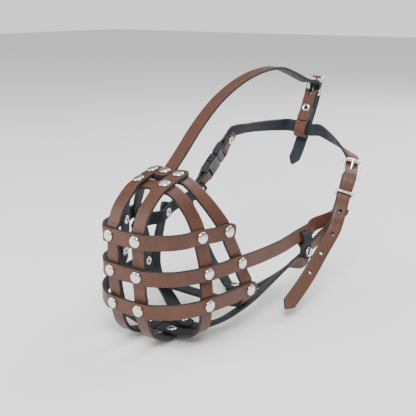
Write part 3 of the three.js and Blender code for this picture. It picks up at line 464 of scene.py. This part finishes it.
foreheadRows = [
    row(vec(0, 45, 154.6), vec(0, -0.2, 0.98)),
    foreheadRivet,
    row(vec(0, 66, 161.5), vec(0, -0.5, 0.87)),
    row(vec(0, 80, 173), vec(0, -0.68, 0.74)),
    row(vec(0, 101, 191), vec(0, -0.62, 0.78)),
    row(vec(0, 132, 212), vec(0, -0.48, 0.88)),
    row(vec(0, 170, 228), vec(0, -0.3, 0.95)),
    row(vec(0, 210, 236.5), vec(0, -0.12, 0.99)),
    row(vec(0, 247, 237), vec(0, 0.12, 0.99)),
    row(vec(1.5, 272, 230.2), vec(0, 0.32, 0.95)),
    row(vec(3.2, 290, 223.4), vec(0, 0.35, 0.94)),
    row(vec(5, 303, 219), vec(-0.05, 0.3, 0.95)),
    topRow(frameLength - 7, -4.5, 0.97, 0.2),
    topRow(frameLength - 8.3, 1.5, 0.9, 0.43),
    topRow(frameLength - 12, 6.3, 0.6, 0.8),
    topRow(2, 9.4, 0.2, 0.98),
    topRow(-9, overTabRivet, 0, 1),
    topRow(-20, overTabRivet, 0, 1),
    topRow(-29, loopOut + pitch + 0.7, -0.05, 1),
    topRow(-41, loopOut + pitch + 0.3, -0.05, 1),
    topRow(-54, 8, -0.1, 0.99),
    row(vec(-3, 301, 136), vec(-0.05, 0.86, -0.5)),
    row(vec(-6, 293.5, 121), vec(-0.1, 0.82, -0.56))
]

# ---- Straps from under the jaw back to the cheek straps --------------------------------
bottomInner = lift(bottomRear, -1)
jawRow = lambda x, y, z, nx, ny, nz: row(vec(x, y, z), vec(nx, ny, nz))
jawLeftRows = [
    row(mirror(bottomInner.point) + vec(-endReach, 0, 0), bottomInner.normal),
    mirrorRow(bottomInner),
    row(at_x(bottomInner.point, 0), bottomInner.normal),
    bottomInner,
    jawRow(31, 61.5, 9.4, 0.12, 0, -1),
    jawRow(42, 66, 13.2, 0.3, 0, -0.95),
    jawRow(50.5, 76, 17, 0.4, -0.05, -0.9),
    jawRow(54.5, 92, 20.5, 0.42, -0.1, -0.9),
    jawRow(56.5, 112, 24.5, 0.44, -0.1, -0.9),
    jawRow(58, 140, 32, 0.5, 0, -0.85),
    jawRow(59.5, 166, 39, 0.62, 0.15, -0.76),
    jawRow(61.5, 185, 43.5, 0.8, 0.2, -0.5)
]
slitAlong = (vec(0, 1, 0) - slitRow.normal * slitRow.normal.y).normalized()
slitFrame = frameAt(slitRow.point, slitAlong, slitRow.normal.cross(slitAlong), slitRow.normal)
slitPlace = lambda along, up, out, nUp, nOut: localRow(slitFrame, along, up, out, nUp, nOut)
slitRivetUp = -21
slitRivetIn = slitPlace(0, slitRivetUp, -pitch / 2, 0, 1)
slitRivetOut = slitPlace(0, slitRivetUp, pitch / 2, 0, 1)
jawLeftRows.extend([
    slitPlace(-5, -31, -1.9, -0.3, 0.95),
    pin(slitRivetIn),
    slitPlace(0, -9.6, -4, 0.1, 0.98),
    slitPlace(0, -4, -4.3, 0, 1),
    slitPlace(0, -1.2, -3.3, -0.7, 0.7),
    slitPlace(0, 0, -0.9, -1, 0.1),
    slitPlace(0, 0, 0.9, -1, -0.1),
    slitPlace(0, -0.9, 2.9, -0.7, -0.7),
    slitPlace(0, -3.5, 3.7, 0.1, -0.98),
    slitPlace(0, -9.6, 3.8, 0.1, -0.98),
    slitPlace(0, slitRivetUp + flatReach, pitch / 2, 0, -1),
    slitPlace(0, slitRivetUp - flatReach, pitch / 2, 0, -1)
])

# ---- Far cheek strap and the straps' crossing with it ----------------------------------
farCheekStart = pin(lift(mirrorRow(hoopRearHalf[6]), 1), 8.4)
farCross = pin(row(vec(-52.5, 118, 95), vec(-0.98, -0.15, 0.1)), 8.8)
socketJoin = pin(localRow(clipFrame, 0, -20, pitch / 2, 0, 1), 8)
farCheekRows = [
    row(farCheekStart.point + vec(-0.6, -endReach, -1.5), farCheekStart.normal),
    farCheekStart,
    row(vec(-57, 99, 91.5), vec(-0.98, -0.18, 0.08)),
    farCross,
    row(vec(-46.8, 143, 105), vec(-0.97, -0.08, 0.2)),
    lift(socketJoin, -2),
    lift(row(socketJoin.point + vec(1.2, 8.8, 3.5), socketJoin.normal), -2)
]
jawRightRows = [
    row(lift(bottomRear, -2).point + vec(endReach + 1, 0, 1.2), bottomRear.normal),
    lift(bottomRear, -2),
    jawRow(0, 70.5, 12.2, 0, 0, -1),
    jawRow(-18, 84, 13, -0.08, 0, -1),
    jawRow(-37, 97, 15.5, -0.25, 0, -0.97),
    jawRow(-55.5, 107, 20.5, -0.55, 0, -0.83),
    jawRow(-66.5, 114, 34, -0.9, 0.05, -0.4),
    jawRow(-67, 116, 51, -0.99, 0.05, 0),
    jawRow(-63.5, 117, 69, -0.98, -0.05, 0.12),
    jawRow(-59.5, 117.7, 84, -0.98, -0.12, 0.12),
    lift(farCross, 1),
    row(lift(farCross, 1).point + vec(0.6, 0.4, endReach + 1.2), farCross.normal)
]

# ---- Strap meshes ----------------------------------------------------------------------
def flatten(rows):
    """A strap lies flat for a short way on each side of a pinned row."""
    out = []
    for i, r in enumerate(rows):
        if not r.pinned:
            out.append(r)
            continue
        along = rows[min(i + 1, len(rows) - 1)].point - rows[max(i - 1, 0)].point
        along = (along - r.normal * along.dot(r.normal)).normalized()
        for side in (-1, 0, 1):
            out.append(Row(r.point + along * (side * r.pinned), r.normal, 0, along))
    return out


ringStep = 1.6                           # most between two rings of a strap's mesh
mostBend = 0.12                          # radians of bend and twist between two rings


class Strap:
    """A strap through its rows: a centripetal spline, as in the CAD part, with turning normals."""

    def __init__(self, rows):
        self.rows = flatten(rows)
        self.spans = len(self.rows) - 1

    def spline(self, place):
        rows = self.rows
        i = min(max(int(place), 0), self.spans - 1)
        s = place - i
        p1, p2 = rows[i].point, rows[i + 1].point
        p0 = rows[i - 1].point if i > 0 else p1 * 2 - p2
        p3 = rows[i + 2].point if i + 2 <= self.spans else p2 * 2 - p1
        d0, d1, d2 = (math.sqrt((b - a).length) for a, b in ((p0, p1), (p1, p2), (p2, p3)))
        t1 = ((p1 - p0) / d0 - (p2 - p0) / (d0 + d1) + (p2 - p1) / d1) * d1
        t2 = ((p2 - p1) / d1 - (p3 - p1) / (d1 + d2) + (p3 - p2) / d2) * d1
        c2 = -3 * p1 + 3 * p2 - 2 * t1 - t2
        c3 = 2 * p1 - 2 * p2 + t1 + t2
        point = p1 + t1 * s + c2 * s * s + c3 * s * s * s
        return point, (t1 + 2 * c2 * s + 3 * c3 * s * s).normalized()

    def at(self, place):
        """Mid point, direction, width direction and outward normal at a place counted in rows."""
        i = min(max(int(place), 0), self.spans - 1)
        a, b = self.rows[i], self.rows[i + 1]
        share = min(max(place - i, 0), 1)
        point, along = self.spline(place)
        if a.heading and b.heading and (a.heading - b.heading).length < 1e-6:
            point = a.point.lerp(b.point, share)
            along = a.heading.copy()
        elif (share == 0 or b.heading) and a.heading and share < 1:
            along = a.heading.copy()
        elif b.heading and (share == 1 or a.heading):
            along = b.heading.copy()
        normal = a.normal.lerp(b.normal, share)
        normal = (normal - along * normal.dot(along)).normalized()
        return point, along, normal.cross(along), normal

    def stations(self):
        """Places evenly spread along the strap, with the distance gone at each."""
        places, gone, distance = [0.0], [0.0], 0.0
        for span in range(self.spans):
            a, b = self.at(span), self.at(span + 1)
            bend = a[1].angle(b[1]) + a[3].angle(b[3])
            parts = max(1, math.ceil((b[0] - a[0]).length / ringStep), math.ceil(bend / mostBend))
            for i in range(1, parts + 1):
                place = span + i / parts
                distance += (self.at(place)[0] - self.at(places[-1])[0]).length
                places.append(place)
                gone.append(distance)
        return places, gone

    def find(self, distance):
        """The place a given distance along from the start."""
        places, gone = self.stations()
        for i in range(1, len(gone)):
            if gone[i] >= distance:
                share = (distance - gone[i - 1]) / (gone[i] - gone[i - 1])
                return places[i - 1] + (places[i] - places[i - 1]) * share
        return places[-1]


END_REACH = {"square": 0.6, "round": 4.6, "point": 7.7}


def end_scale(kind, distance):
    """The share of the full width at a distance from an end."""
    reach = END_REACH[kind]
    share = min(max(distance / reach, 0), 1)
    if kind == "square":
        return 0.96 + 0.04 * share
    if kind == "round":
        return 0.25 + 0.75 * math.sqrt(1 - (1 - share) ** 2)
    return 0.14 + 0.86 * share ** 0.9


OUTER, EDGE, INNER = range(3)


edgeRadius = 0.75
faceDish = 0.12                          # how far a face falls from its edges to its middle
edgeBand = 0.22                          # faces with middles this near the top or bottom count as face


def section():
    """Points round a strap's section."""
    w, t, r = strapWidth / 2, half, edgeRadius
    corners = [(w - r, t - r, 0), (-w + r, t - r, 90), (-w + r, -t + r, 180), (w - r, -t + r, 270)]
    points = []
    for index, (x, z, start) in enumerate(corners):
        for k in range(4):
            angle = math.radians(start + 30 * k)
            points.append((x + r * math.cos(angle), z + r * math.sin(angle)))
        if index in (0, 2):
            for k in (1, 2, 3):
                side = 1 if index == 0 else -1
                dish = faceDish * (1 - (1 - k / 2) ** 2)
                points.append((side * (w - r) * (1 - k / 2), side * (t - dish)))
    return points


SECTION = section()


def slot_of(a, b):
    """The slot of the face between two points of the section."""
    z = (SECTION[a][1] + SECTION[b][1]) / 2
    if z > half - edgeBand:
        return OUTER
    if z < -half + edgeBand:
        return INNER
    return EDGE


def to_object(name, bm, materials, smooth=40):
    """The mesh of a bmesh built in millimetres, placed in the part's frame."""
    bmesh.ops.recalc_face_normals(bm, faces=bm.faces)
    mesh = bpy.data.meshes.new(name)
    bm.to_mesh(mesh)
    bm.free()
    mesh.transform(Matrix.Scale(0.001, 4) @ Matrix.Translation(shift))
    for m in materials:
        mesh.materials.append(m)
    mesh.shade_smooth()
    mesh.set_sharp_from_angle(angle=math.radians(smooth))
    obj = bpy.data.objects.new(name, mesh)
    bpy.context.scene.collection.objects.link(obj)
    return obj


def strap_mesh(strap, start, end):
    places, gone = strap.stations()
    total = gone[-1]
    marks = dict(zip(gone, places))
    for k in range(1, 9):
        share = (k / 9) ** 2
        marks[share * END_REACH[start]] = strap.find(share * END_REACH[start])
        marks[total - share * END_REACH[end]] = strap.find(total - share * END_REACH[end])
    bm = bmesh.new()
    rings, last = [], -1
    for distance in sorted(marks):
        if distance - last < 0.02:
            continue
        last = distance
        point, along, across, normal = strap.at(marks[distance])
        scale = min(end_scale(start, distance), end_scale(end, total - distance))
        rings.append([bm.verts.new(point + across * (x * scale) + normal * z) for x, z in SECTION])
    count = len(SECTION)
    for a, b in zip(rings, rings[1:]):
        for i in range(count):
            j = (i + 1) % count
            face = bm.faces.new((a[i], a[j], b[j], b[i]))
            face.material_index = slot_of(i, j)
    for ring in (rings[0], rings[-1]):
        face = bm.faces.new(ring)
        face.material_index = EDGE
    return bm


def lathe(bm, profile, matrix, sides=32, slot=0):
    """Turns a profile of radius and height round the frame's own Z axis."""
    rings = []
    for r, z in profile:
        if r < 1e-6:
            rings.append([bm.verts.new(matrix @ vec(0, 0, z))])
            continue
        turns = [2 * math.pi * k / sides for k in range(sides)]
        spots = [matrix @ vec(r * math.cos(a), r * math.sin(a), z) for a in turns]
        rings.append([bm.verts.new(spot) for spot in spots])
    for a, b in zip(rings, rings[1:]):
        for k in range(sides):
            n = (k + 1) % sides
            corners = [a[k % len(a)], a[n % len(a)], b[n % len(b)], b[k % len(b)]]
            unique = list(dict.fromkeys(corners))
            if len(unique) > 2:
                bm.faces.new(unique).material_index = slot


# ---- Materials -------------------------------------------------------------------------
def material(name, color, roughness, metallic=0.0, coat=0.0):
    m = bpy.data.materials.new(name)
    m.use_nodes = True
    shader = m.node_tree.nodes["Principled BSDF"]
    shader.inputs["Base Color"].default_value = (*color, 1)
    shader.inputs["Roughness"].default_value = roughness
    shader.inputs["Metallic"].default_value = metallic
    shader.inputs["Coat Weight"].default_value = coat
    shader.inputs["Coat Roughness"].default_value = 0.25
    return m


def add(m, kind, **values):
    node = m.node_tree.nodes.new(kind)
    for key, value in values.items():
        node.inputs[key.replace("_", " ")].default_value = value
    return node


def mottle(m, dark, light, scale, grain, depth):
    """Uneven colour and a fine grain that stands out of the surface."""
    tree = m.node_tree
    shader = tree.nodes["Principled BSDF"]
    place = tree.nodes.new("ShaderNodeTexCoord")
    cloud = add(m, "ShaderNodeTexNoise", Scale=scale, Detail=4.0, Roughness=0.6)
    ramp = tree.nodes.new("ShaderNodeValToRGB")
    ramp.color_ramp.elements[0].position = 0.3
    ramp.color_ramp.elements[0].color = (*dark, 1)
    ramp.color_ramp.elements[1].position = 0.7
    ramp.color_ramp.elements[1].color = (*light, 1)
    fine = add(m, "ShaderNodeTexNoise", Scale=grain, Detail=5.0, Roughness=0.65)
    bump = add(m, "ShaderNodeBump", Strength=depth, Distance=0.0004)
    link = tree.links.new
    link(place.outputs["Object"], cloud.inputs["Vector"])
    link(place.outputs["Object"], fine.inputs["Vector"])
    link(cloud.outputs["Fac"], ramp.inputs["Fac"])
    link(ramp.outputs["Color"], shader.inputs["Base Color"])
    link(fine.outputs["Fac"], bump.inputs["Height"])
    link(bump.outputs["Normal"], shader.inputs["Normal"])
    return m


brown = mottle(material("brown_grain", (0.09, 0.026, 0.010), 0.5, coat=0.04),
               (0.052, 0.0145, 0.0055), (0.090, 0.026, 0.0098), 38, 900, 0.25)
edge = mottle(material("dyed_edge", (0.012, 0.009, 0.008), 0.6),
              (0.006, 0.005, 0.005), (0.020, 0.014, 0.011), 120, 1500, 0.4)
flesh = mottle(material("dark_flesh_side", (0.008, 0.012, 0.022), 0.7),
               (0.002, 0.005, 0.010), (0.006, 0.012, 0.021), 60, 1200, 0.5)
nickel = mottle(material("polished_nickel", (0.8, 0.79, 0.77), 0.13, metallic=1.0),
                (0.70, 0.69, 0.67), (0.78, 0.77, 0.75), 200, 2500, 0.02)
plastic = mottle(material("black_plastic", (0.02, 0.022, 0.028), 0.32),
                 (0.004, 0.006, 0.010), (0.008, 0.010, 0.016), 90, 3000, 0.08)
leathers = [brown, edge, flesh]
PAINTED_SHADE_HOLE = 1                                 # a rivet's slots are the nickel and the floor of its hole, painted near-black as painted shade for a hollow shank


def give(obj, body, node):
    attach(obj, body)
    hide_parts(node)


def carve(obj, cutters):
    """Cuts solids out of a strap; the cut faces take the edge's finish."""
    for cutter in cutters:
        tool = to_object("cutter", cutter, leathers)
        for face in tool.data.polygons:
            face.material_index = EDGE
        modifier = obj.modifiers.new("cut", "BOOLEAN")
        modifier.operation = "DIFFERENCE"
        modifier.solver = "EXACT"
        modifier.object = tool
        bpy.context.view_layer.objects.active = obj
        bpy.ops.object.modifier_apply(modifier=modifier.name)
        bpy.data.objects.remove(tool)


def rod(matrix, radius, length, sides=24):
    low, high = -length / 2, length / 2
    bm = bmesh.new()
    lathe(bm, [(0, low), (radius, low), (radius, high), (0, high)], matrix, sides)
    return bm


def block(matrix, size, place=(0, 0, 0)):
    bm = bmesh.new()
    scale = Matrix.Diagonal((*size, 1))
    bmesh.ops.create_cube(bm, size=1, matrix=matrix @ Matrix.Translation(place) @ scale)
    return bm


def holes(strap, count):
    """Cutters for the adjusting holes, from the one nearest the tip."""
    total = strap.stations()[1][-1]
    made = []
    for i in range(count):
        point, along, across, _ = strap.at(strap.find(total - firstHole - i * holeSpacing))
        matrix = frameAt(point, across, along, across.cross(along))
        made.append(rod(matrix, holeRadius, 4 * strapThickness))
    return made


across_x = Matrix.Rotation(math.pi / 2, 4, "Y")


def fold_slot(at):
    return rod(at @ across_x, 5.6, tongueSlot, 40)


def prong_hole(at):
    return block(at, (tongueSlot, 16, 3.5), (0, frameLength / 2, 3.75))


neck = Strap(neckStrapRows)
forehead = Strap(foreheadRows)
straps = [
    ("front_strap_left", Strap(frontRows), "round", "round", []),
    ("front_strap_right", Strap(mirrorRows(frontRows)), "round", "round", []),
    ("front_hoop", Strap(frontHoopRows), "square", "square", []),
    ("rear_hoop", Strap(rearHoopRows), "square", "square", []),
    ("upper_band", Strap(upperRows), "round", "round", []),
    ("middle_band_and_cheek_strap", Strap(middleRows), "round", "round",
     [block(slitFrame, (strapWidth + 3.4, strapThickness + 1.8, 4 * strapThickness))]),
    ("lower_band", Strap(lowerRows), "round", "round", []),
    ("cheek_strap_right", Strap(farCheekRows), "round", "round", []),
    ("lower_cheek_strap_left", Strap(jawLeftRows), "round", "round", []),
    ("lower_cheek_strap_right", Strap(jawRightRows), "round", "round", []),
    ("throat_strap_left", Strap(throatLeftRows), "round", "round", [fold_slot(neckFrame)]),
    ("throat_strap_right", Strap(throatRightRows), "round", "round", []),
    ("neck_strap", neck, "round", "point", [prong_hole(neckFrame), *holes(neck, neckHoles)]),
    ("forehead_tab", Strap(tabRows), "round", "round", [fold_slot(topFrame)]),
    ("forehead_strap", forehead, "round", "point",
     [prong_hole(topFrame), *holes(forehead, foreheadHoles)]),
]
for name, strap, start, end, cutters in straps:
    obj = to_object(name + "_leather", strap_mesh(strap, start, end), leathers)
    carve(obj, cutters)
    give(obj, "harness", name)


# ---- Rivets ----------------------------------------------------------------------------
capRim = 0.5                             # upright rim under the cap's dome
seamSide = vec(0.31, 0.2, 0.93)          # a direction that no rivet points in


def rivet(name, place, layers):
    """A domed cap outside, a shank through the layers and an eyelet washer inside."""
    z = place.normal
    x = seamSide.cross(z).normalized()
    matrix = frameAt(place.point + z * half, x, z.cross(x), z)
    low_z = -layers * strapThickness - (layers - 1) * layerGap - layerGap
    # The washer's hole is a shallow recess whose floor takes the near-black edge colour: painted shade
    # standing in for the dark inside of a hollow shank.
    painted_shade_hole = [(0, low_z + 0.5), (1.55, low_z + 0.4), (1.65, low_z - 0.6)]
    washer = [painted_shade_hole[-1], (1.95, low_z - washerHeight), (2.7, low_z - washerHeight * 0.98),
              (3.9, low_z - washerHeight * 0.7), (washerRadius * 0.98, low_z - 0.3),
              (washerRadius, low_z), (shankRadius, low_z)]
    cap = [(shankRadius, layerGap), (capRadius * 0.97, layerGap)]
    rise = capHeight - capRim
    for k in range(11):
        angle = math.radians(9 * k)
        cap.append((capRadius * math.cos(angle) ** 0.8 if k < 10 else 0,
                    layerGap + capRim + rise * math.sin(angle)))
    bm = bmesh.new()
    lathe(bm, painted_shade_hole, matrix, slot=PAINTED_SHADE_HOLE)
    lathe(bm, washer + cap, matrix)
    bmesh.ops.remove_doubles(bm, verts=bm.verts, dist=1e-4)
    give(to_object(name + "_nickel", bm, [nickel, edge], 50), "harness", name)


def pair(place):
    return [place, mirrorRow(place)]


def on_band(*places):
    return [spot for place in places for spot in pair(lift(place, 1))]


rivets = {
    "upper_band_rivet": (2, on_band(front["upper"], hoopFront["upper"], hoopRear["upper"])),
    "middle_band_rivet": (2, [*on_band(front["middle"], hoopFront["middle"]),
                              lift(hoopRear["middle"], 1)]),
    "lower_band_rivet": (2, on_band(front["lower"], hoopFront["lower"], hoopRear["lower"])),
    "bridge_rivet": (2, pair(topFront) + pair(topRear)),
    "forehead_rivet": (3, [foreheadRivet]),
    "jaw_front_rivet": (2, pair(bottomFront)),
    "jaw_cross_rivet": (3, [bottomRear]),
    "jaw_rear_rivet": (2, [mirrorRow(bottomRear)]),
    "throat_rivet": (2, [throatRivet]),
    "far_cheek_start_rivet": (2, [farCheekStart]),
    "far_cheek_cross_rivet": (2, [lift(farCross, 1)]),
    "socket_fold_rivet": (3, [socketJoin]),
    "plug_fold_rivet": (2, [localRow(clipTop, 0, -13, pitch / 2, 0, 1)]),
    "slit_loop_rivet": (2, [slitRivetOut]),
    "neck_buckle_fold_rivet": (3, [cheekJoin]),
    "tab_rivet": (3, [topRow(-18, pitch, 0, 1)]),
}
for name, (layers, spots) in rivets.items():
    for i, place in enumerate(spots):
        rivet(f"{name}_{i + 1}" if len(spots) > 1 else name, place, layers)


# ---- Buckle metal ----------------------------------------------------------------------
def wire_ring(half_width, half_length, corner, wire, matrix, sides=18):
    """A closed wire round a rounded rectangle in the frame's X-Y plane."""
    path = []
    for sx, sy, start in ((1, 1, 0), (-1, 1, 90), (-1, -1, 180), (1, -1, 270)):
        for k in range(9):
            angle = math.radians(start + 90 * k / 8)
            out = vec(math.cos(angle), math.sin(angle), 0)
            centre = vec(sx * (half_width - corner), sy * (half_length - corner), 0)
            path.append((centre + out * corner, out))
    bm = bmesh.new()
    rings = []
    for middle, out in path:
        ring = []
        for k in range(sides):
            angle = 2 * math.pi * k / sides
            p = middle + out * (wire * math.cos(angle)) + vec(0, 0, wire * math.sin(angle))
            ring.append(bm.verts.new(matrix @ p))
        rings.append(ring)
    for a, b in zip(rings, rings[1:] + rings[:1]):
        for k in range(sides):
            n = (k + 1) % sides
            bm.faces.new((a[k], a[n], b[n], b[k]))
    return bm


halfFrame = strapWidth / 2 + strapPlay + wireRadius
barWidth = 2 * (halfFrame - ringCorner) - rollerSidePlay


def roller(matrix):
    inner, outer, end, chamfer = wireRadius + rollerPlay, rollerRadius, barWidth / 2, 0.25
    profile = [(inner, -end), (outer - chamfer, -end), (outer, -end + chamfer),
               (outer, end - chamfer), (outer - chamfer, end), (inner, end), (inner, -end)]
    bm = bmesh.new()
    lathe(bm, profile, matrix @ Matrix.Translation((0, frameLength, 0)) @ across_x, 36)
    bmesh.ops.remove_doubles(bm, verts=bm.verts, dist=1e-4)
    return bm


softEdge = 0.0003                        # metres, as a CAD node's own mesh is


def restyle(node, finish):
    """A CAD node's own solid with softened edges."""
    source = frame["nodes"][node]
    obj = bpy.data.objects.new(node + "_finished", source.data.copy())
    bpy.context.scene.collection.objects.link(obj)
    obj.data.materials.clear()
    obj.data.materials.append(finish)
    bm = bmesh.new()
    bm.from_mesh(obj.data)
    bmesh.ops.remove_doubles(bm, verts=bm.verts, dist=1e-6)
    bmesh.ops.dissolve_limit(bm, angle_limit=math.radians(1.5), verts=bm.verts, edges=bm.edges)
    bm.to_mesh(obj.data)
    bm.free()
    bevel = obj.modifiers.new("soft edges", "BEVEL")
    bevel.width = softEdge
    bevel.segments = 3
    bevel.limit_method = "ANGLE"
    bevel.angle_limit = math.radians(34)
    bpy.context.view_layer.objects.active = obj
    bpy.ops.object.modifier_apply(modifier=bevel.name)
    obj.data.shade_smooth()
    obj.data.set_sharp_from_angle(angle=math.radians(40))
    return obj


for label, at in (("neck", neckFrame), ("forehead", topFrame)):
    frame_at = at @ Matrix.Translation((0, frameLength / 2, 0))
    ring = wire_ring(halfFrame, frameLength / 2, ringCorner, wireRadius, frame_at)
    give(to_object(label + "_buckle_wire", ring, [nickel], 60), "harness",
         label + "_buckle_frame")
    give(to_object(label + "_roller_tube", roller(at), [nickel], 30), label + "_roller",
         label + "_buckle_roller")
    give(restyle(label + "_buckle_tongue", nickel), label + "_tongue",
         label + "_buckle_tongue")

keeperBelow = 20                         # from the neck buckle's heel bar
keeperPlay = 0.6                         # each side of the straps
keeperCorner = 2.2
upright = Matrix.Rotation(math.pi / 2, 4, "X")
keeper_at = neckFrame @ Matrix.Translation((0, -keeperBelow, pitch * 0.5 + 0.2)) @ upright
keeper = wire_ring(strapWidth / 2 + keeperPlay + keeperWire, keeperStack / 2 + keeperWire,
                   keeperCorner, keeperWire, keeper_at)
give(to_object("keeper_wire", keeper, [nickel], 60), "keeper", "keeper_ring")

# ---- Side-release buckle ---------------------------------------------------------------
for node, body in (
    ("clip_socket", "harness"),
    ("clip_plug", "harness"),
    ("clip_arm_front", "clip_front_arm"),
    ("clip_arm_rear", "clip_rear_arm"),
):
    give(restyle(node, plastic), body, node)

# ---- Floor, light and camera -----------------------------------------------------------
floor_mesh = bpy.data.meshes.new("floor")
floor_mesh.from_pydata([(-6, -6, 0), (6, -6, 0), (6, 6, 0), (-6, 6, 0)], [], [(0, 1, 2, 3)])
floor = bpy.data.objects.new("floor", floor_mesh)
floor_mesh.materials.append(material("pale_floor", (0.9, 0.9, 0.9), 0.8))
bpy.context.scene.collection.objects.link(floor)

world = bpy.data.worlds.new("studio")
bpy.context.scene.world = world
world.use_nodes = True
tree = world.node_tree
sky = tree.nodes.new("ShaderNodeTexCoord")
split = tree.nodes.new("ShaderNodeSeparateXYZ")
ramp = tree.nodes.new("ShaderNodeValToRGB")
# Grey levels of the sky from the horizon up, by the sine of the angle. The nickel mirrors them.
sky_levels = ((0.0, 0.9), (0.16, 0.7), (0.34, 0.16), (0.62, 0.22), (0.8, 1.0))
for stop, (position, level) in enumerate(sky_levels):
    stops = ramp.color_ramp.elements
    if stop > 1:
        stops.new(position)
    stops[stop].position = position
    stops[stop].color = (level, level, level, 1)
tree.links.new(sky.outputs["Generated"], split.inputs["Vector"])
tree.links.new(split.outputs["Z"], ramp.inputs["Fac"])
tree.links.new(ramp.outputs["Color"], tree.nodes["Background"].inputs["Color"])
tree.nodes["Background"].inputs["Strength"].default_value = 1.3
target = Vector((0, 0, 0.1))
for name, place, size, power in (
    ("key", (0.7, -1.0, 1.5), 0.9, 40),
    ("fill", (-1.1, -1.1, 0.8), 0.9, 14),
    ("back", (0.2, 1.4, 1.3), 1.0, 22),
):
    data = bpy.data.lights.new(name, "AREA")
    data.size = size
    data.energy = power
    light = bpy.data.objects.new(name, data)
    light.location = place
    light.rotation_euler = (target - light.location).to_track_quat("-Z", "Y").to_euler()
    bpy.context.scene.collection.objects.link(light)

camera_data = bpy.data.cameras.new("camera")
camera_data.sensor_width = 36
camera_data.lens = 61.2
camera = bpy.data.objects.new("camera", camera_data)
camera.location = (0.39939, -0.58462, 0.30403)
view = Vector((-0.5768, 0.7683, -0.2775))
camera.rotation_euler = view.to_track_quat("-Z", "Y").to_euler()
bpy.context.scene.collection.objects.link(camera)
bpy.context.scene.camera = camera
